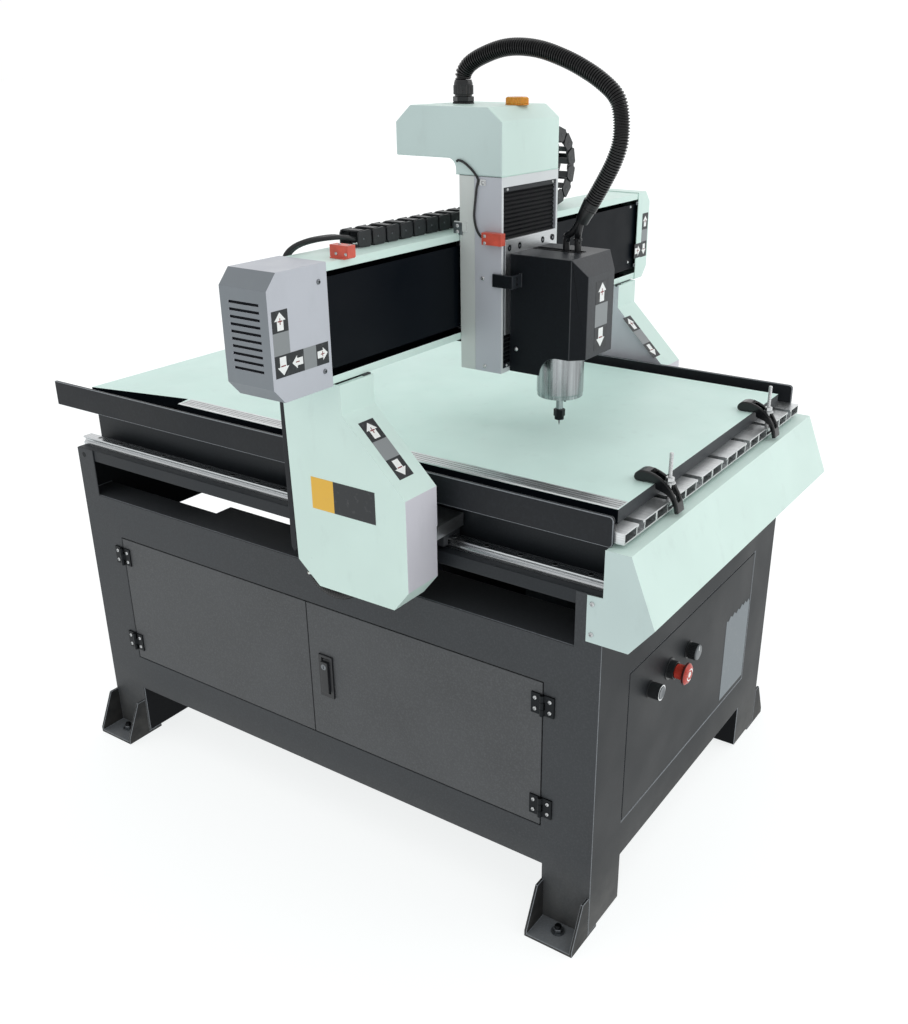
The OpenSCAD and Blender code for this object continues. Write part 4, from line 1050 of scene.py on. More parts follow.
@dataclass
class Cabinet:
    """The powder-coated cabinet: sides, shell, service panel and the four levelling feet."""

    half_width: float = 384
    length: float = 1192
    foot_reach: float = 54
    leg: float = 93
    leg_top: float = 118
    leg_gap: float = 300
    sole_top: float = 14
    bolt_inset: float = 8
    # the radius, the length and the thread's pitch of a foot's bolt
    bolt: tuple[float, float, float] = (6.2, 20, 1.75)
    plug_inset: float = 19
    plug_level: float = 638
    film: Outline = (
        (151, 185), (271, 185), (271, 360), (264, 368), (257, 362), (247, 370), (238, 364), (229, 371),
        (219, 363), (209, 369), (201, 362), (190, 370), (181, 364), (170, 370), (161, 362), (151, 366),
    )  # fmt: skip

    def build(self) -> None:
        """Makes the cabinet's pieces."""
        dress("cabinet_sides", CABINET, 1.2)
        dress("cabinet_shell", self.paint_shell, 1.2, worn=RUBBED_EDGE_AND_HIGHLIGHT)
        dress("service_panel", CABINET_FRONT_PAINTED_SHADE, 1.1)
        dress("feet", self.paint_feet, 0.9, worn=RUBBED_EDGE_AND_HIGHLIGHT)
        self.levelling_bolts()
        self.panel_film()
        self.post_plugs()

    def paint_shell(self, middle: Vector, normal: Vector) -> Finish:
        """The legs' inner walls get painted shade, nearly black, and the front sheet gets painted shade as
        the darkest coat outside.

        Args:
            middle: the face's middle, in source millimetres.
            normal: which way it faces.

        Returns:
            Its finish.
        """
        low = middle.z < self.leg_top and abs(normal.z) < 0.5
        across = abs(middle.x) < self.leg_gap and abs(normal.x) > 0.5
        along = self.leg - 6 < middle.y < self.length - self.leg + 6 and abs(normal.y) > 0.5
        if low and (across or along):
            return LEG_INSIDE_PAINTED_SHADE
        return CABINET_FRONT_PAINTED_SHADE if normal.y < -0.5 else CABINET

    def paint_feet(self, middle: Vector, normal: Vector) -> Finish:
        """The sole's top is paler between the gussets."""
        return SOLE_TOP if normal.z > 0.9 and middle.z < self.sole_top else FOOT

    def levelling_bolts(self) -> None:
        """Each foot's bolt: a threaded rod, a washer and a nut."""
        form = Form()
        x = self.half_width + self.foot_reach / 2 - self.bolt_inset
        for side in (-1, 1):
            for y in (self.leg / 2, self.length - self.leg / 2):
                at = on(Side.TOP, (side * x, y, 0.5))
                stud(form, at, *self.bolt, OXIDE)
                washer(form, at @ Matrix.Translation((0, 0, 5.5)), 12, 6.3, 2, DULL_ZINC)
                hex_nut(form, at @ Matrix.Translation((0, 0, 7.6)), 8.6, 6.5, DULL_ZINC)
        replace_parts(form.piece("levelling_bolts", "base", 0.3), "foot_bolts")

    def panel_film(self) -> None:
        """The plain grey film on the service panel, its upper edge torn and worn."""
        form = Form()
        form.prism(self.film, -0.05, 0.35, on(Side.FRONT, (0, 0, 0)), PANEL_FILM)
        form.piece("panel_film", "base")

    def post_plugs(self) -> None:
        """The dark plugs in the left side's two posts."""
        form = Form()
        for y in (self.plug_inset, self.length - self.plug_inset):
            at = on(Side.LEFT, (-self.half_width, y, self.plug_level))
            form.turned([(0, 0.1), (5.5, 0.1), (5.5, -0.3)], at, OXIDE)
        form.piece("post_plugs", "base")


@dataclass
class Doors:
    """The two doors with their hinges' screws, and the flush latch on the near one."""

    face: float = 384
    pins: tuple[float, float] = (97, 1095)
    hinge_levels: tuple[float, float] = (217, 415)
    leaf_face: float = 387
    screw_reach: float = 13.5
    screw_rises: tuple[float, float] = (9, 29)
    lock: Point = (-392.6, 555, 354)

    def build(self) -> None:
        """Makes the doors' pieces."""
        dress("near_door", self.paint, 0.8)
        dress("far_door", self.paint, 0.8)
        dress("hinge_frame_leaves", OXIDE, 0.7)
        dress("latch_plate", BLACK_PLASTIC, 0.25)
        dress("latch_lever", BLACK_PLASTIC, 1.4)
        self.screws()
        self.latch_lock()

    def paint(self, middle: Vector, normal: Vector) -> Finish:
        """The hinge leaves are black; the doors have the cabinet's coat."""
        return OXIDE if middle.x < -self.face - 0.3 else DOOR

    def screws(self) -> None:
        """Two screws in every leaf, on the door and on the frame."""
        groups = {"near_door": (self.pins[0], 1), "far_door": (self.pins[1], -1)}
        for body, (pin, inward) in groups.items():
            for rides, way in ((body, inward), ("base", -inward)):
                form = Form()
                for level in self.hinge_levels:
                    for rise in self.screw_rises:
                        at = (-self.leaf_face, pin + way * self.screw_reach, level + rise)
                        screw_head(form, on(Side.LEFT, at), 3.6)
                form.piece(f"hinge_screws_{body}_{rides}", rides)

    def latch_lock(self) -> None:
        """The latch's round lock with its key slot."""
        form = Form()
        lock = on(Side.LEFT, self.lock)
        form.turned([(0, 1.2), (5.2, 1.2), (5.8, 0.6), (5.8, -0.5)], lock, DULL_ZINC, 28)
        form.prism(rectangle(0.7, 3.4), 1.2, 1.4, lock, OXIDE)
        form.piece("latch_lock", "latch")


@dataclass
class Controls:
    """The push button, the emergency stop and the speed knob on the service panel."""

    level: float = 396
    places: tuple[float, float, float] = (-194, -115.5, -37)
    collar_radii: tuple[float, float, float] = (15.6, 20.5, 16.5)

    def spot(self, index: int) -> Matrix:
        """The local plane on the panel's face, its w outward, for one control."""
        return on(Side.FRONT, (self.places[index], 0, self.level))

    def build(self) -> None:
        """Makes the controls' pieces."""
        self.collars()
        self.button()
        self.mushroom()
        self.knob()

    def collars(self) -> None:
        """The parts that stay on the panel: bezel, stop collar, knob skirt and power inlet."""
        form = Form()
        form.take("panel_fittings", self.paint)
        for index, radius in enumerate(self.collar_radii):
            washer(form, self.spot(index), radius, 11.5, 1.6, BLACK_PLASTIC)
        piece = form.piece("control_collars", "base", 0.6)
        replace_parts(piece, "panel_fittings")

    def paint(self, middle: Vector, normal: Vector) -> Finish:
        """Chrome on the front of the push button's bezel, zinc on the inlet's pins, else black.

        Args:
            middle: the face's middle, in source millimetres.
            normal: which way it faces.

        Returns:
            Its finish.
        """
        near_button = abs(middle.x - self.places[0]) < 16 and middle.y < -19
        pin = middle.y > 1170 and abs(middle.z - 220) < 3 and 240 < middle.x < 260
        return CHROME if near_button else ZINC if pin else BLACK_PLASTIC

    def button(self) -> None:
        """A dished grey cap on its stem."""
        form = Form()
        place = self.spot(0)
        cap = [
            (0, 21.8), (5, 22.0), (9.6, 22.9), (10.8, 23), (11.1, 22.5), (11.1, 21), (7.9, 20.8),
            (7.9, 2), (0, 2),
        ]  # fmt: skip
        form.turned(cap, place, BUTTON_GREY, 40)
        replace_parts(form.piece("button_skin", "button"), "button_cap")

    def mushroom(self) -> None:
        """A red mushroom: a pale centre between two arcs, and a dark ring of painted shade around its rim.
        """
        form = Form()
        place = self.spot(1)
        head = [
            (0, 37.2), (6, 37.2), (7.2, 38), (12, 37.6), (16.5, 36.2), (19.2, 33.6), (19.9, 31.4),
            (19.4, 29.3), (13.6, 29), (13.4, 14), (7.9, 13.6), (7.9, 0), (0, 0),
        ]  # fmt: skip
        form.turned(head, place, MUSHROOM, 48)
        form.turned([(19.6, 29.6), (20, 30.4), (20, 33), (19.5, 33.4)], place, MUSHROOM_RIM_PAINTED_SHADE, 48)
        form.turned([(0, 37.6), (5, 37.6), (5.4, 37.1)], place, PRINT_WHITE, 28)
        for turn in (0, math.pi):
            arc = [turn + a / 10 for a in range(1, 20, 3)]
            outer = [(11.6 * math.cos(a), 11.6 * math.sin(a)) for a in arc]
            inner = [(9.4 * math.cos(a), 9.4 * math.sin(a)) for a in reversed(arc)]
            form.prism(outer + inner, 37.3, 37.95, place, PRINT_WHITE)
        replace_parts(form.piece("estop_skin", "estop"), "estop_head")

    def knob(self) -> None:
        """A fluted black knob with a grey face and a pale pointer."""
        form = Form()
        place = self.spot(2)
        form.prism(fluted(30, 14.2, 15.3), 4.4, 18.6, place, BLACK_PLASTIC)
        form.turned([(14.4, 18.4), (13.6, 20.2), (12, 20.9), (0, 20.9)], place, BUTTON_GREY, 40)
        form.turned([(0, -8), (7.9, -8), (7.9, 4.6), (0, 4.6)], place, BLACK_PLASTIC, 24)
        form.prism([(-0.8, 4), (0.8, 4), (0.8, 13), (-0.8, 13)], 20.8, 21.0, place, PRINT_WHITE)
        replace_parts(form.piece("knob_skin", "knob"), "speed_knob")


@dataclass
class Bed:
    """The bed: black beams, rails, guards, slotted table, board and the folded front cover."""

    rail_x: float = 356
    rail_top: float = 669
    board_top: float = 775
    board_left: float = -342
    board_length: float = 923
    first_bolt: float = 36
    bolt_pitch: float = 62
    bolt_count: int = 19
    cheek: float = 385.5
    cheek_screws: tuple[tuple[float, float], ...] = ((17, 637), (17, 586))

    def build(self) -> None:
        """Makes the bed's pieces."""
        dress("bed_frame", BED, 1.0)
        dress("y_rails", RAIL, 0.5)
        dress("side_guards", TEXTURED, 1.2, worn=RUBBED_EDGE_AND_HIGHLIGHT)
        dress("slot_table", self.paint_profiles, 0.4)
        dress("work_board", self.paint_board, 0.7)
        dress("front_cover", mint_cover, 0.5, 20)
        self.rail_bolts()
        self.edge_strip()
        self.cover_screws()
        recolour("control_gear", GEAR)
        recolour("y_motor", MOTOR)
        recolour("y_screw", SCREW)

    def paint_profiles(self, middle: Vector, normal: Vector) -> Finish:
        """The profiles' ends are sawn and bright."""
        return SAWN if abs(normal.y) > 0.9 else ANODISED

    def paint_board(self, middle: Vector, normal: Vector) -> Finish:
        """Mint laminate on top and a grey band around the edges; the left faces get painted shade in black.

        Args:
            middle: the face's middle, in source millimetres.
            normal: which way it faces.

        Returns:
            Its finish.
        """
        if normal.z > 0.5:
            return BOARD_TOP
        # painted shade: the left faces are black, for the dark gap in shade beside the board
        return BLACK_PANEL_AND_SHADE if normal.x < -0.5 else BOARD_EDGE

    def rail_bolts(self) -> None:
        """The bolts sunk in the rails' tops."""
        form = Form()
        for side in (-1, 1):
            for i in range(self.bolt_count):
                at = on(Side.TOP, (side * self.rail_x, self.first_bolt + self.bolt_pitch * i, self.rail_top))
                form.turned([(5.2, 0.02), (5.2, 0.2), (4.4, 0.2), (4.4, 0.02)], at, ZINC, 20, closed=True)
                form.turned([(0, 0.12), (4.4, 0.12), (4.4, 0.0)], at, OXIDE, 20)
        form.piece("rail_bolts", "base")

    def edge_strip(self) -> None:
        """The ribbed aluminium edge strip along the board's left side."""
        form = Form()
        ribs = [0, 1.5, 3, 9, 10, 16, 17, 23, 24, 30, 31.5, 33]
        levels = [0.1, 1.4, 1.4, 0.7, 1.2, 0.7, 1.2, 0.7, 1.2, 0.7, 1.4, 0.1]
        top = [(self.board_left + 0.4 + u, self.board_top + w) for u, w in zip(ribs, levels)]
        base = [(top[-1][0], self.board_top - 0.05), (top[0][0], self.board_top - 0.05)]
        form.prism(top + base, -self.board_length, -5, plane((0, 0, 0), (1, 0, 0), (0, 0, 1)), ANODISED)
        for u in (6, 13, 20, 27):
            x, z = self.board_left + u, self.board_top + 0.6
            form.box((x - 0.5, 6, z), (x + 0.5, self.board_length - 1, z + 0.65), PRINT_BLACK)
        form.piece("board_edge_strip", "base")

    def cover_screws(self) -> None:
        """Two screws in each cheek of the front cover."""
        form = Form()
        for y, z in self.cheek_screws:
            screw_head(form, on(Side.LEFT, (-self.cheek, y, z)), 4.2)
            screw_head(form, on(Side.RIGHT, (self.cheek, y, z)), 4.2)
        form.piece("cover_screws", "base")


@dataclass
class Clamps:
    """The two hold-down clamps: each an arched arm, a stud with washers and a nut, and a block."""

    places: tuple[float, float] = (-211.43, 211.43)
    stud_y: float = -16
    board_top: float = 775
    board_base: float = 753
    stud_rise: float = 52

    def build(self) -> None:
        """Makes the clamps' pieces."""
        dress("clamp_arms", RUBBER_COAT, 2.4, 14, 3)
        form = Form()
        for x in self.places:
            at = on(Side.TOP, (x, self.stud_y, self.board_base - 4))
            length = self.board_top + self.stud_rise - self.board_base + 4
            stud(form, at, 3.4, length, 1.25)
            nut_at = on(Side.TOP, (x, self.stud_y, self.board_top + 3))
            washer(form, nut_at, 9.2, 4.1, 1.6)
            washer(form, nut_at @ Matrix.Translation((0, 0, 1.6)), 7.6, 4.1, 1.4)
            hex_nut(form, nut_at @ Matrix.Translation((0, 0, 3.0)), 7.2, 7)
            low = self.board_base - 10
            form.box((x - 9, self.stud_y - 6, low), (x + 9, self.stud_y + 6, low + 6), ZINC)
        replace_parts(form.piece("clamp_studs", "base", 0.25), "clamp_bolts")


@dataclass
class Gantry:
    """The gantry: legs, beam, panel, end covers, the limit switch, the labels and the leads."""

    beam_front: float = 404
    cover_face: float = 402
    beam_low: float = 932
    beam_top: float = 1107
    column_face: float = 482
    beam_depth: float = 84
    toe_top: float = 790
    inner_x: float = 380
    carriage_plate: tuple[float, float] = (680, 704)
    # the screws of the end covers and of the black panel, as (x, z)
    cover_screws: Outline = ((-507, 1084), (-505, 956), (481, 1088), (482, 961))
    panel_screws: Outline = ((-486, 1082), (-486, 968.5), (466, 1082), (466, 968.5))
    # the low and the high corner of the dark sheet behind the vent slots, which paints the shade in them
    vent_shade_corners: tuple[Point, Point] = ((-606.9, 412, 958), (-606.2, 482, 1080))
    loop_start: Point = (-468, 395, 583)
    loop_radius: float = 10.4
    loop_groove: float = 1.2
    lead_start: Point = (-372, 448, 1107)
    lead_radius: float = 3.4
    # the conduit's way as (y, z) from the left leg's low corner
    loop_route: tuple[tuple[float, float], ...] = (
        (96, 72), (96, 50), (95, 26), (85, 4), (62, -8), (34, -9), (11, 3), (4, 23), (4, 38)
    )  # fmt: skip
    # the leads' way from the chain's fixed end to the beam's rear face
    tail_route: tuple[Point, ...] = (
        (0, 0, 13), (-16, 3, 18), (-36, 12, 19), (-56, 26, 17), (-72, 42, 11), (-82, 53, 1),
        (-86, 57, -12), (-86, 57, -24), (-86, 52, -34), (-86, 46, -36), (-86, 40, -36),
    )  # fmt: skip

    def build(self) -> None:
        """Makes the gantry's pieces."""
        dress("column_covers", self.paint_columns, 0.65, 25)
        dress("column_backs", TEXTURED, 1.0)
        dress("gantry_legs", self.paint_legs, 0)
        dress("crossbar", CASTING, 1.0)
        dress("gantry_beam", self.paint_beam, 0.9)
        dress("beam_panel", BLACK_PANEL_AND_SHADE, 0.5)
        dress("end_cover_left", self.paint_end_cover, 0.4, 25)
        dress("end_cover_right", MINT, 0.6, 25)
        recolour("x_motor", MOTOR)
        recolour("x_screw", SCREW)
        self.cover_labels()
        self.column_labels()
        self.screws()
        self.vent_painted_shade()
        self.switch()
        self.cables()

    def paint_end_cover(self, middle: Vector, normal: Vector) -> Finish:
        """The left cover's outer side gets painted shade, a darker grey than its front."""
        return SIDE_GREY_PAINTED_SHADE if normal.x < -0.6 else PALE

    def paint_beam(self, middle: Vector, normal: Vector) -> Finish:
        """Mint outside; inside the channel that the panel closes, painted shade in black.

        Args:
            middle: the face's middle, in source millimetres.
            normal: which way it faces.

        Returns:
            Its finish.
        """
        outside = (
            abs(normal.x) > 0.5
            or (normal.y < -0.5 and middle.y < self.beam_front + 1)
            or (normal.y > 0.5 and middle.y > self.beam_front + self.beam_depth - 1)
            or (normal.z > 0.5 and middle.z > self.beam_top - 1)
            or (normal.z < -0.5 and middle.z < self.beam_low + 1)
        )
        # painted shade: the channel's inner faces take the panel's black
        return MINT if outside else BLACK_PANEL_AND_SHADE

    def paint_legs(self, middle: Vector, normal: Vector) -> Finish:
        """Each leg stands on a milled carriage plate."""
        return MILLED if self.carriage_plate[0] < middle.z < self.carriage_plate[1] else CASTING

    def paint_columns(self, middle: Vector, normal: Vector) -> Finish:
        """The right leg's inner face and both legs' upright toes get painted light and shade, paler and
        greyer.

        Args:
            middle: the face's middle, in source millimetres.
            normal: which way it faces.

        Returns:
            Its finish.
        """
        inner = middle.x > self.inner_x and normal.x < -0.5
        toe = normal.y < -0.9 and middle.z < self.toe_top
        return COLUMN_PAINTED_LIGHT_AND_SHADE if inner or toe else MINT

    def cover_labels(self) -> None:
        """The direction labels on the end covers' front faces."""
        form = Form()
        left = on(Side.FRONT, (-603, self.cover_face, 967))
        wide, tall = 25.7, 31
        strip(form, left, (tall, 92), (tall, 2 * tall))
        for i, mark in enumerate((Mark.LEFT, Mark.PLAIN, Mark.RIGHT)):
            place = left @ Matrix.Translation((tall + wide * (i + 0.5), tall / 2, 0))
            label(form, place, (wide, tall), mark, plus=mark is Mark.RIGHT)
        right = on(Side.FRONT, (511.5, self.cover_face, 973))
        strip(form, right, (27, 91), (32.5, 57.5))
        label(form, right @ Matrix.Translation((-15.2, 16.2, 0)), (30.4, 30), Mark.RIGHT, plus=True)
        form.piece("end_cover_labels", "gantry")

    def column_labels(self) -> None:
        """The strips on the columns' sloping faces, and the plain two-tone plate on the left."""
        form = Form()
        slope = (0, 114, 112)
        for x, along in ((-463.5, 127), (393, 132)):
            foot = Vector((x, 396, 884)) - along * Vector(slope).normalized()
            strip(form, plane(foot, (1, 0, 0), slope), (34, 106), (36, 70))
        face = on(Side.LEFT, (-self.column_face, 467, 720.5))
        form.prism([(0, 0), (45, 0), (45, 53), (0, 53)], -0.1, 0.3, face, PRINT_YELLOW)
        form.prism([(45, 0), (127, 0), (127, 53), (45, 53)], -0.1, 0.3, face, PRINT_BLACK)
        form.piece("column_labels", "gantry")

    def screws(self) -> None:
        """The screws of the end covers and of the black panel."""
        form = Form()
        for x, z in self.cover_screws:
            screw_head(form, on(Side.FRONT, (x, self.cover_face, z)), 3.8, DULL_ZINC)
        for x, z in self.panel_screws:
            screw_head(form, on(Side.FRONT, (x, self.beam_front + 5, z)), 2.6, PRINT_WHITE)
        form.piece("gantry_screws", "gantry")

    def vent_painted_shade(self) -> None:
        """A dark sheet behind the left cover's slots, which paints the shade in them."""
        form = Form()
        form.box(*self.vent_shade_corners, BLACK_PANEL_AND_SHADE)
        form.piece("vent_painted_shade", "gantry")

    def switch(self) -> None:
        """The cross travel's limit switch with its four screws."""
        form = Form()
        form.take("x_switch", SWITCH)
        for y in (396, 414):
            screw_head(form, on(Side.LEFT, (-453, y, 1114)), 2.4)
            screw_head(form, on(Side.TOP, (-444.5, y, 1126)), 2.2)
        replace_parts(form.piece("x_switch_skin", "gantry", 0.7), "x_switch")

    def cables(self) -> None:
        """The ribbed loop below the left leg with its ties, and the three leads of the chain."""
        x, y0, z0 = self.loop_start
        loop = [(x, y0 + y, z0 + z) for y, z in self.loop_route]
        path = smooth_path(loop, 0.9)
        thin = self.loop_radius - self.loop_groove
        ribs = [self.loop_radius if i % 4 in (1, 2) else thin for i in range(len(path))]
        form = Form()
        form.swept(path, ribs, HOSE, 16)
        conduit = form.piece("leg_conduit", "gantry")
        ties = Form()
        for share, finish in ((0.12, TIE_BLACK), (0.3, TIE_WHITE), (0.86, TIE_BLACK)):
            tie_around(ties, path, share, self.loop_radius + 0.2, finish)
        rings = ties.piece("leg_conduit_ties", "gantry", 0.3)
        leads = Form()
        for i in range(3):
            wide, flat = 1 + 0.1 * i, 1 - 0.25 * i
            x0, y0, z0 = self.lead_start
            route = [(x0 + x * wide, y0 + 10 * i + y * flat, z0 + z) for x, y, z in self.tail_route]
            lead = smooth_path(route, 4)
            form = Form()
            form.swept(lead, self.lead_radius, CABLE, 12)
            piece = form.piece(f"chain_lead_{i + 1}", "gantry")
            grommet = plane(route[-1], (1, 0, 0), (0, 0, -1))
            washer(leads, grommet, 5.6, 3.5, 1.8, RUBBER)
        leads.piece("lead_grommets", "gantry", 0.4)
        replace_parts(conduit, "gantry_cables")


def tie_around(
    form: Form, path: Sequence[Vector], share: float, radius: float, finish: Finish
) -> None:
    """Adds a cable tie around a path: its band, its lock and its cut tail.

    Args:
        form: the form that receives it.
        path: the cable's middle.
        share: how far along the path it sits, from 0 to 1.
        radius: the cable's radius there, in millimetres.
        finish: what it is made of.
    """
    i = min(len(path) - 2, max(1, round(share * (len(path) - 1))))
    ahead = (path[i + 1] - path[i - 1]).normalized()
    u = ahead.orthogonal().normalized()
    where = plane(path[i], u, ahead.cross(u))
    band = [(radius, -1.8), (radius + 1.1, -1.8), (radius + 1.1, 1.8), (radius, 1.8)]
    form.turned(band, where, finish, 24, closed=True)
    lock = [(radius, -2.6), (radius + 4.2, -2.6), (radius + 4.2, 2.6), (radius, 2.6)]
    form.prism(lock, -2.6, 2.6, where, finish)
    tail = [(radius + 1, -0.9), (radius + 9, -0.9), (radius + 9, 0.9), (radius + 1, 0.9)]
    form.prism(tail, 2.6, 3.4, where, finish)


@dataclass
class DragChain:
    """The drag chain on the beam: a fixed run, a bend and a run that ends on the head."""

    pitch: float = 34
    height: float = 26
    width: float = 38
    front: float = 440
    beam_top: float = 1107
    radius: float = 60
    fixed_end: float = -372
    bend_x: float = 210
    moving_end: float = 12.5
    bend_links: int = 6

    def build(self) -> None:
        """Makes the three stretches: the bend rides on its body, and the two runs ride on none."""
        lower_count = round((self.bend_x - self.fixed_end) / self.pitch)
        lower = Form()
        for i in range(lower_count):
            share = (self.bend_x - self.fixed_end) / lower_count
            self.link(lower, self.flat(self.fixed_end + share * i, self.beam_top), share)
        piece = lower.piece("chain_lower_links", None, 0.5)
        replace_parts(piece, "chain_lower")
        self.follow(piece)

        bend = Form()
        count = self.bend_links
        chord = 2 * self.radius * math.sin(math.pi / count / 2)
        centre = Vector((self.bend_x, self.front, self.beam_top + self.radius + self.height / 2))
        for i in range(count):
            start, middle = math.pi * i / count, math.pi * (i + 0.5) / count
            where = centre + self.radius * Vector((math.sin(start), 0, -math.cos(start)))
            turn = Matrix.Rotation(-middle, 4, "Y")
            drop = Matrix.Translation((0, 0, -self.height / 2))
            self.link(bend, Matrix.Translation(where) @ turn @ drop, chord, self.radius, i < count - 1)
        piece = bend.piece("chain_bend_links", "chain_bend", 0.5)
        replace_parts(piece, "chain_bend")

        upper = Form()
        upper_count = round((self.bend_x - self.moving_end) / self.pitch)
        level = self.beam_top + 2 * self.radius
        for i in range(upper_count):
            share = (self.bend_x - self.moving_end) / upper_count
            self.link(upper, self.flat(self.moving_end + share * i, level), share)
        piece = upper.piece("chain_upper_links", None, 0.5)
        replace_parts(piece, "chain_upper")
        self.follow(piece)
        self.end_bracket()

    def flat(self, x: float, z: float) -> Matrix:
        """Where a link of a straight run lies: its low front corner."""
        return Matrix.Translation((x, self.front, z))

    def follow(self, piece: bpy.types.Object) -> None:
        """Bakes a run's placement into its mesh.

        Args:
            piece: the run's links.
        """
        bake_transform(piece)

    def link(
        self, form: Form, where: Matrix, pitch: float, radius: float = math.inf, joined: bool = True
    ) -> None:
        """Adds one link: outer and inner cheeks, pins, and the bars that close it.

        Args:
            form: the form that receives it.
            where: the link's own frame: x along the chain, y across it, z up.
            pitch: the distance to the next link.
            radius: how far away, along z, the middle of its bend lies.
            joined: whether its tongue enters the next link, rather than the next link's entering it.
        """
        tall, wide = self.height, self.width
        side = where @ plane((0, 0, 0), (1, 0, 0), (0, 0, 1))

        def fanned(outline: Outline) -> list[tuple[float, float]]:
            """The outline, opened towards the outside of the bend."""
            mid = pitch / 2
            return [(mid + (x - mid) * (1 + (tall / 2 - z) / radius), z) for x, z in outline]

        cheek = [
            (0.5, 6), (3.4, 1.2), (0.78 * pitch, 0.5), (0.86 * pitch, 4), (0.9 * pitch, tall / 2),
            (0.86 * pitch, tall - 4), (0.78 * pitch, tall - 0.5), (3.4, tall - 1.2), (0.5, tall - 6),
        ]  # fmt: skip
        tongue = [
            (0.6 * pitch, 3), (0.9 * pitch, 1.4), (pitch + 3, 4), (pitch + 7, tall / 2),
            (pitch + 3, tall - 4), (0.9 * pitch, tall - 1.4), (0.6 * pitch, tall - 3),
        ]  # fmt: skip
        # w of this plane is -y of the link
        for low, high, inner in ((-3.2, -0.2, -5.6), (-wide + 0.2, -wide + 3.2, -wide + 3.2)):
            form.prism(fanned(cheek), low, high, side, NYLON)
            if joined:
                form.prism(fanned(tongue), inner, inner + 2.4, side, NYLON)
        for face, out in ((-0.2, 1), (-wide + 0.2, -1)):
            pin = side @ Matrix.Translation((0.36 * pitch, tall / 2, face))
            boss = [(0, 0.16), (2.2, 0.16), (2.6, 0.08), (6.2, 0.08), (7, -0.4)]
            form.turned([(r, w * out) for r, w in boss], pin, NYLON, 20)
            form.turned([(0, 0.19 * out), (1.6, 0.19 * out), (1.6, 0)], pin, DULL_ZINC, 12)
        for level in (0.1, tall - 2.7):
            bar = [(4, level), (0.5 * pitch, level), (0.5 * pitch, level + 2.6), (4, level + 2.6)]
            form.prism(bar, -wide + 3, -3, side, NYLON)

    def end_bracket(self) -> None:
        """The plated angle that holds the chain's fixed end on the beam."""
        form = Form()
        x = self.fixed_end
        y, z = self.front, self.beam_top
        form.box((x - 12, y + 2, z), (x + 14, y + self.width - 2, z + 1.4), ZINC)
        for along in (-6, 8):
            screw_head(form, on(Side.TOP, (x + along, y + self.width / 2, z + 1.4)), 3.2)
        form.piece("chain_bracket", "gantry", 0.3)


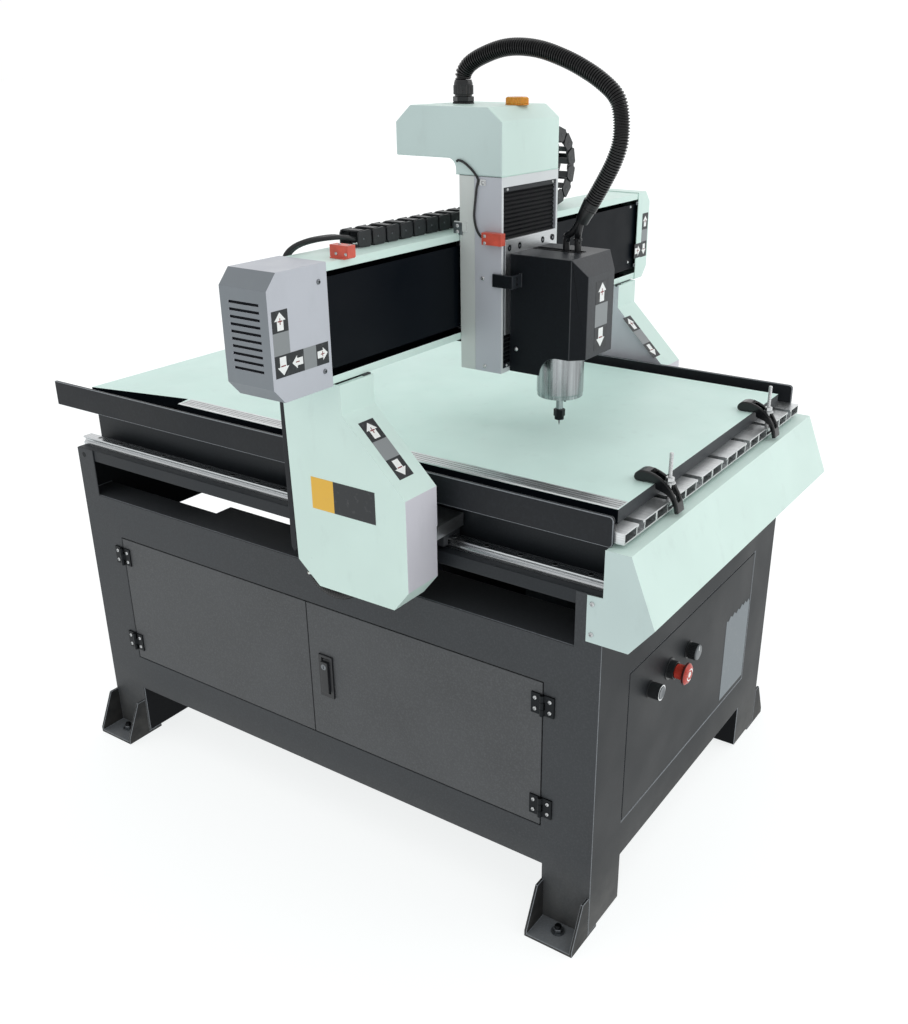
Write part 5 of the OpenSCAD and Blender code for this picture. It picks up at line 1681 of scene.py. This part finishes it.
@dataclass
class Head:
    """The head on the cross carriage: frame, hood, bellows, lift switch, beacon and gland."""

    middle: float = -75
    half: float = 87.5
    front: float = 322
    low: float = 884
    top: float = 1198
    hood_top: float = 1299
    plate_low: float = 948
    plate_top: float = 1102
    side_screws: tuple[tuple[float, float], ...] = ((358, 1039), (355, 893))
    switch_reach: float = 13
    lead_gap: float = 2.3
    lead_radius: float = 1.9
    bellows_half: float = 79
    # how deep a pleat lies at its ridge, on its way in, in its valley and on its way out
    pleat: tuple[float, ...] = (0.8, 1.5, 3.4, 1.5)
    # the switch lead's way as (y, z) from the frame's front top edge
    lead_route: tuple[tuple[float, float], ...] = (
        (84, 20), (80, 22), (70, 19), (59, 12), (49, 3), (43, -6), (46, -17), (48, -32), (50, -47),
        (51, -62), (48, -78), (42, -89), (35, -94), (30, -94),
    )  # fmt: skip

    def build(self) -> None:
        """Makes the head's pieces."""
        dress("x_saddle", MILLED, 0.6)
        dress("z_frame", self.paint_frame, 0.8)
        dress("z_rear_cover", REAR_COVER, 0.6)
        dress("z_hood", mint_cover, 2.2, 20, 3)
        recolour("z_motor", MOTOR)
        recolour("z_screw", SCREW)
        self.screws()
        self.bellows("upper", self.plate_top, self.top - 16, 12, True)
        self.bellows("lower", self.low + 8, self.plate_low, 8, False)
        self.lift_switch()
        self.beacon()
        self.gland()

    def paint_frame(self, middle: Vector, normal: Vector) -> Finish:
        """The frame's front edges get painted light, paler than its sides."""
        return FRAME_FRONT_PAINTED_LIGHT if normal.y < -0.5 else PALE

    def screws(self) -> None:
        """The screws in the head's two sides, the dog plate and the lead's clip."""
        form = Form()
        x = self.middle - self.half
        for y, z in self.side_screws:
            screw_head(form, on(Side.LEFT, (x, y, z)), 3.8)
            screw_head(form, on(Side.RIGHT, (self.middle + self.half, y, z)), 3.8)
        form.box((x - 2.4, 397, 1105), (x, 414, 1124.5), DULL_ZINC)
        for z in (1109.5, 1118.8):
            screw_head(form, on(Side.LEFT, (x - 2.4, 406, z)), 3.2)
        clip = on(Side.LEFT, (x, 358.5, 1188.5))
        form.prism(rectangle(7.2, 4.7), 0, 1.2, clip, ZINC)
        screw_head(form, clip @ Matrix.Translation((2, 0, 1.2)), 3.4)
        # the dark joint between the hood and the frame
        form.box((x - 0.25, self.front, self.top - 0.7), (x, self.front + 80, self.top + 0.3), PRINT_BLACK)
        form.piece("head_screws", "x_carriage", 0.25)

    def bellows(self, name: str, low: float, high: float, folds: int, above: bool) -> None:
        """A pleated cloth between the slide plate and the frame, and the bar that clamps its end.

        Args:
            name: "upper" or "lower".
            low: its lower end.
            high: its upper end.
            folds: how many pleats it has.
            above: whether its upper end is the one that stays on the frame.
        """
        step = (high - low) / (4 * folds)
        face = [(self.front + 2 + self.pleat[i % 4], low + i * step) for i in range(4 * folds + 1)]
        back = [(y + 1.6, z) for y, z in reversed(face)]
        form = Form()
        where = plane((self.middle - self.bellows_half, 0, 0), (0, 1, 0), (0, 0, 1))
        form.prism(face + back, 0, 2 * self.bellows_half, where, BELLOWS)
        piece = form.piece(f"bellows_{name}_cloth", None)
        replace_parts(piece, f"bellows_{name}")
        still, moving = (high, low) if above else (low, high)
        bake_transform(piece)
        clamp = Form()
        z0 = still - 7 if above else still
        left, right = self.middle - self.bellows_half, self.middle + self.bellows_half
        clamp.box((left, self.front + 0.6, z0), (right, self.front + 1.8, z0 + 7), BED)
        for x in (-70, 70):
            screw_head(clamp, on(Side.FRONT, (self.middle + x, self.front + 0.6, z0 + 3.5)), 2.4)
        clamp.piece(f"bellows_{name}_clamp", "x_carriage", 0.3)

    def lift_switch(self) -> None:
        """The lift's limit switch with its screws, and its lead through the clip."""
        form = Form()
        form.take("z_switch", SWITCH)
        x = self.middle - self.half - self.switch_reach
        for z in (1098, 1108.6):
            screw_head(form, on(Side.LEFT, (x, 346, z)), 2.8)
        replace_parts(form.piece("z_switch_skin", "x_carriage", 0.45), "z_switch")
        x = self.middle - self.half - self.lead_gap
        path = smooth_path([(x, self.front + y, self.top + z) for y, z in self.lead_route], 4)
        form = Form()
        form.swept(path, self.lead_radius, CABLE, 12)
        piece = form.piece("z_switch_lead", "x_carriage")
        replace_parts(piece, "switch_cable")

    def beacon(self) -> None:
        """The amber lens with its ribs on a bright ring."""
        form = Form()
        where = on(Side.TOP, (self.middle + 11, self.front + 35, self.hood_top))
        form.turned([(0, 0), (19, 0), (19, 1.6), (18.2, 2.0), (0, 2.0)], where, BRASS, 48)
        form.prism(fluted(36, 17.6, 18.6), 2.0, 10.4, where, AMBER)
        form.turned([(17.8, 10.4), (17.2, 11.6), (15, 12.4), (0, 12.4)], where, AMBER, 48)
        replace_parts(form.piece("beacon_lens", "x_carriage", 0.3), "beacon")

    def gland(self) -> None:
        """The hose gland: hexagon, neck, fluted nut and rubber lip."""
        form = Form()
        where = on(Side.TOP, (self.middle, self.front + 132, self.hood_top))
        washer(form, where, 17.5, 6, 2.4, RUBBER)
        hex_nut(form, where @ Matrix.Translation((0, 0, 2.4)), 17.4, 9, GLAND)
        form.turned([(0, 11), (14.2, 11), (14.2, 14), (0, 14)], where, GLAND, 32)
        form.prism(fluted(16, 16.6, 15.4, 2), 14, 28, where, GLAND)
        form.turned([(15.4, 27.8), (15.4, 31), (14.4, 34), (13.6, 36.3), (8, 36.3)], where, GLAND, 40)
        form.turned([(0, -10), (8.8, -10), (8.8, 1), (0, 1)], where, GLAND, 24)
        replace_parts(form.piece("hose_gland_skin", "x_carriage", 0.4), "hose_gland")


@dataclass
class Spindle:
    """What the lift moves: slide plate, clamp, spindle, angular cover and the tool."""

    middle: float = -75
    axis_y: float = 258
    plate_y: float = 320
    plate_top: float = 1102
    cover_front: float = 186
    cover_side: float = 64.5
    cap_circle: float = 33.5
    plate_screws: tuple[float, ...] = (-67, -36, 37, 70)

    def build(self) -> None:
        """Makes the spindle's pieces."""
        dress("z_plate", MILLED, 0.8)
        dress("spindle_clamp", MILLED, 1.5)
        dress("spindle_cover", self.paint_cover, 0.9, 25, worn=COVER_COAT)
        dress("spindle_body", TURNED_PAINTED_REFLECTION, 0.8)
        dress("collet_nut", OXIDE, 0)
        dress("spindle_shaft", TURNED_PAINTED_REFLECTION, 0.6)
        recolour("cutter", CARBIDE)
        self.label()
        self.fasteners()
        self.body_rings()
        self.cover_inside()

    def paint_cover(self, middle: Vector, normal: Vector) -> Finish:
        """The cover's left side lies in shade and gets painted shade, nearly black."""
        return COVER_SIDE_PAINTED_SHADE if normal.x < -0.3 else COVER_COAT

    def label(self) -> None:
        """The direction strip on the cover's front face."""
        form = Form()
        strip(form, on(Side.FRONT, (-93, self.cover_front, 928)), (42, 112), (38, 75))
        form.piece("spindle_label", "z_carriage")

    def fasteners(self) -> None:
        """The plate's sunk screws and the screws in the cover's sides and its dog."""
        form = Form()
        for x in self.plate_screws:
            at = on(Side.FRONT, (self.middle + x, self.plate_y, self.plate_top - 14))
            # painted shade: a flat black disc stands for the dark counterbore around each sunk screw
            form.turned([(0, 0.1), (5.2, 0.1), (5.2, -0.3)], at, BLACK_PANEL_AND_SHADE, 28)
            form.turned([(0, 0.22), (2.2, 0.22), (2.2, 0.1)], at, DULL_ZINC, 6)
        for side, way in ((Side.LEFT, -1), (Side.RIGHT, 1)):
            screw_head(form, on(side, (self.middle + way * self.cover_side, 307, 924)), 3.8)
        for z in (1034, 1043):
            screw_head(form, on(Side.FRONT, (self.middle - 80, self.plate_y - 22, z)), 2.6, OXIDE)
        form.piece("spindle_screws", "z_carriage")

    def body_rings(self) -> None:
        """The turned ring at the spindle's lower end, with its four screws."""
        form = Form()
        where = on(Side.TOP, (self.middle, self.axis_y, 836))
        band = [(30, 1.9), (38, 1.9), (38.8, 2.6), (38.8, 7.5), (30, 7.5)]
        form.turned(band, where, MILLED, 64, closed=True)
        for k in range(4):
            angle = math.pi / 4 + math.pi / 2 * k
            x = self.middle + self.cap_circle * math.cos(angle)
            y = self.axis_y + self.cap_circle * math.sin(angle)
            cap_screw(form, on(Side.BELOW, (x, y, 838)), 2.2, OXIDE)
        form.piece("spindle_end_cap", "z_carriage", 0.3)

    def cover_inside(self) -> None:
        """The dark gasket around the slot in the cover's top."""
        form = Form()
        x0, x1, y0, y1, z = self.middle + 2, self.middle + 18, 227, 317, 1079
        sides = (
            ((x0 - 2, y0), (x0 + 1, y1)),
            ((x1 - 1, y0), (x1 + 2, y1)),
            ((x0 + 1, y0), (x1 - 1, y0 + 1.4)),
            ((x0 + 1, y1 - 1.4), (x1 - 1, y1)),
        )
        for low, high in sides:
            form.box((*low, z), (*high, z + 1), RUBBER)
        form.piece("cover_gasket", "z_carriage", 0.3)


@dataclass
class Hose:
    """The corrugated hose from the gland to the spindle, its sleeve and its two bundles."""

    middle: float = -75
    front: float = 322
    top: float = 1198
    radius: float = 13.2
    pitch: float = 4.2
    groove: float = 2.3
    # where the hose's bend begins and ends, as (y, z)
    gland_end: tuple[float, float] = (454, 1336)
    cover_end: tuple[float, float] = (246, 1085)
    route: Sequence[tuple[float, float]] = (
        (132, 137.5), (132, 143), (129, 150), (118, 161), (96, 172), (60, 183), (25, 186), (-14, 182),
        (-53, 171), (-88, 157), (-123, 138), (-149, 116), (-158, 87), (-158, 53), (-149, 25),
        (-136, 0), (-122, -24), (-107, -49),
    )  # fmt: skip

    def build(self) -> None:
        """Makes the hose, its sleeve and the bundles, which ride on no body."""
        points = [(self.middle, self.front + y, self.top + z) for y, z in self.route]
        path = smooth_path(points, self.pitch / 4)
        ribs = [self.radius if i % 4 in (1, 2) else self.radius - self.groove for i in range(len(path))]
        form = Form()
        form.swept(path, ribs, HOSE, 20)
        hose = form.piece("spindle_hose_ribbed", None)
        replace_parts(hose, "spindle_hose")
        bundles = self.bundles()
        for piece in (hose, bundles):
            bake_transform(piece)

    def bundles(self) -> bpy.types.Object:
        """The shrunk sleeve at the hose's end and the two bundles that enter the cover.

        Returns:
            The piece, which rides on no body.
        """
        form = Form()
        end = self.route[-1]
        sleeve = smooth_path(
            [
                (self.middle, self.front + end[0] - 6, self.top + end[1] + 11),
                (self.middle, self.front + end[0] + 4, self.top + end[1] - 6),
                (self.middle + 2, self.front + end[0] + 12, self.top + end[1] - 20),
            ],
            3,
        )
        last = len(sleeve) - 1
        form.swept(sleeve, [13.6 - 3.0 * i / last for i in range(last + 1)], SLEEVE, 18)
        neck = sleeve[-1]
        for y, side in ((258, -1), (237, 1)):
            route = [
                neck + Vector((0, 0, 6)),
                Vector((neck.x + 3, (neck.y + y) / 2 + 2, neck.z - 18)),
                Vector((self.middle + 9, y, 1100)),
                Vector((self.middle + 10, y, 1066)),
            ]
            path = smooth_path([tuple(p) for p in route], 3)
            form.swept(path, 5.6, SLEEVE, 14)
            tie_around(form, path, 0.55, 5.7, TIE_BLACK)
        return form.piece("spindle_cable_bundles", None)


# ---- The studio -------------------------------------------------------------------------


@dataclass
class View:
    """The camera, looking down at the machine over its front left corner.

    Its focal length and its shift are shares of the picture's longer side.
    """

    place: Point = (-1.595, -1.2055, 1.375)
    yaw: float = 33.05
    pitch: float = 24.04
    roll: float = -0.16
    focal: float = 1.0474609375
    shift: tuple[float, float] = (-0.043359375, 0.01884765625)

    def build(self) -> bpy.types.Object:
        """Makes the camera and hands it to the scene.

        Returns:
            The camera.
        """
        data = bpy.data.cameras.new("camera")
        data.sensor_width = 36
        data.lens = self.focal * data.sensor_width
        data.shift_x, data.shift_y = self.shift
        camera = put_in_scene("camera", data)
        yaw, pitch, roll = (math.radians(a) for a in (self.yaw, self.pitch, self.roll))
        ahead = Vector((math.cos(yaw) * math.cos(pitch), math.sin(yaw) * math.cos(pitch), -math.sin(pitch)))
        right = Vector((math.sin(yaw), -math.cos(yaw), 0))
        down = ahead.cross(right)
        tilted_right = math.cos(roll) * right + math.sin(roll) * down
        tilted_down = -math.sin(roll) * right + math.cos(roll) * down
        turn = Matrix((tilted_right, -tilted_down, -ahead)).transposed().to_4x4()
        camera.matrix_world = Matrix.Translation(self.place) @ turn
        bpy.context.scene.camera = camera
        return camera


@dataclass
class Softbox:
    """One large soft lamp that looks at a point."""

    name: str
    place: Point
    aim: Point
    size: float
    power: float
    colour: str = "#FFFFFF"

    def build(self) -> None:
        """Makes the lamp."""
        data = bpy.data.lights.new(self.name, "AREA")
        data.shape = "DISK"
        data.size = self.size
        data.energy = self.power
        data.color = linear(self.colour)[:3]
        lamp = put_in_scene(self.name, data)
        lamp.location = self.place
        ahead = Vector(self.aim) - Vector(self.place)
        lamp.rotation_euler = ahead.to_track_quat("-Z", "Y").to_euler()


@dataclass
class Sky:
    """Light from all round: white behind the machine, and darker on the camera's side."""

    level: float = 0.86
    growth: Point = (0.2, 0.04, 0.12)
    limit: float = 1.15

    def build(self) -> None:
        """Makes the world whose brightness grows along one direction."""
        world = bpy.data.worlds.new("studio_world")
        world.use_nodes = True
        tree = world.node_tree
        away = add(tree, "ShaderNodeTexCoord").outputs["Generated"]
        rise = add(tree, "ShaderNodeVectorMath", {0: away, 1: self.growth}, operation="DOT_PRODUCT")
        light = add(tree, "ShaderNodeMath", {0: rise.outputs["Value"], 1: self.level}, operation="ADD")
        floor = add(tree, "ShaderNodeMath", {0: light.outputs[0], 1: 0.0}, operation="MAXIMUM")
        cap = add(tree, "ShaderNodeMath", {0: floor.outputs[0], 1: self.limit}, operation="MINIMUM")
        backdrop = tree.nodes["Background"]
        backdrop.inputs["Color"].default_value = linear("#FFFFFF")
        tree.links.new(cap.outputs[0], backdrop.inputs["Strength"])
        bpy.context.scene.world = world


@dataclass
class Room:
    """The plain pale floor and the soft light."""

    radius: float = 60.0
    sky: Sky = field(default_factory=Sky)
    lamps: list[Softbox] = field(
        default_factory=lambda: [Softbox("key", (1.9, -4.4, 3.4), (0.0, 0.0, 0.7), 2.6, 32)]
    )

    def build(self) -> None:
        """Makes the floor, the world's light and the lamps."""
        corners = [math.pi * k / 32 for k in range(64)]
        data = bpy.data.meshes.new("studio_floor")
        rim = [(self.radius * math.cos(a), self.radius * math.sin(a), 0.0) for a in corners]
        data.from_pydata(rim, [], [list(range(len(rim)))])
        data.materials.append(PAPER.material())
        put_in_scene("studio_floor", data)
        self.sky.build()
        for lamp in self.lamps:
            lamp.build()
        bpy.context.scene.view_settings.view_transform = "Standard"


def main() -> None:
    """Builds the studio and every part of the machine."""
    logging.basicConfig(level=logging.INFO, format="%(name)s %(message)s")
    View().build()
    Room().build()
    machine = (Hose, Cabinet, Doors, Controls, Bed, Clamps, Gantry, DragChain, Head, Spindle)
    for part in (make() for make in machine):
        log.info("-- %s", type(part).__name__)
        part.build()


if __name__ == "__main__":
    main()
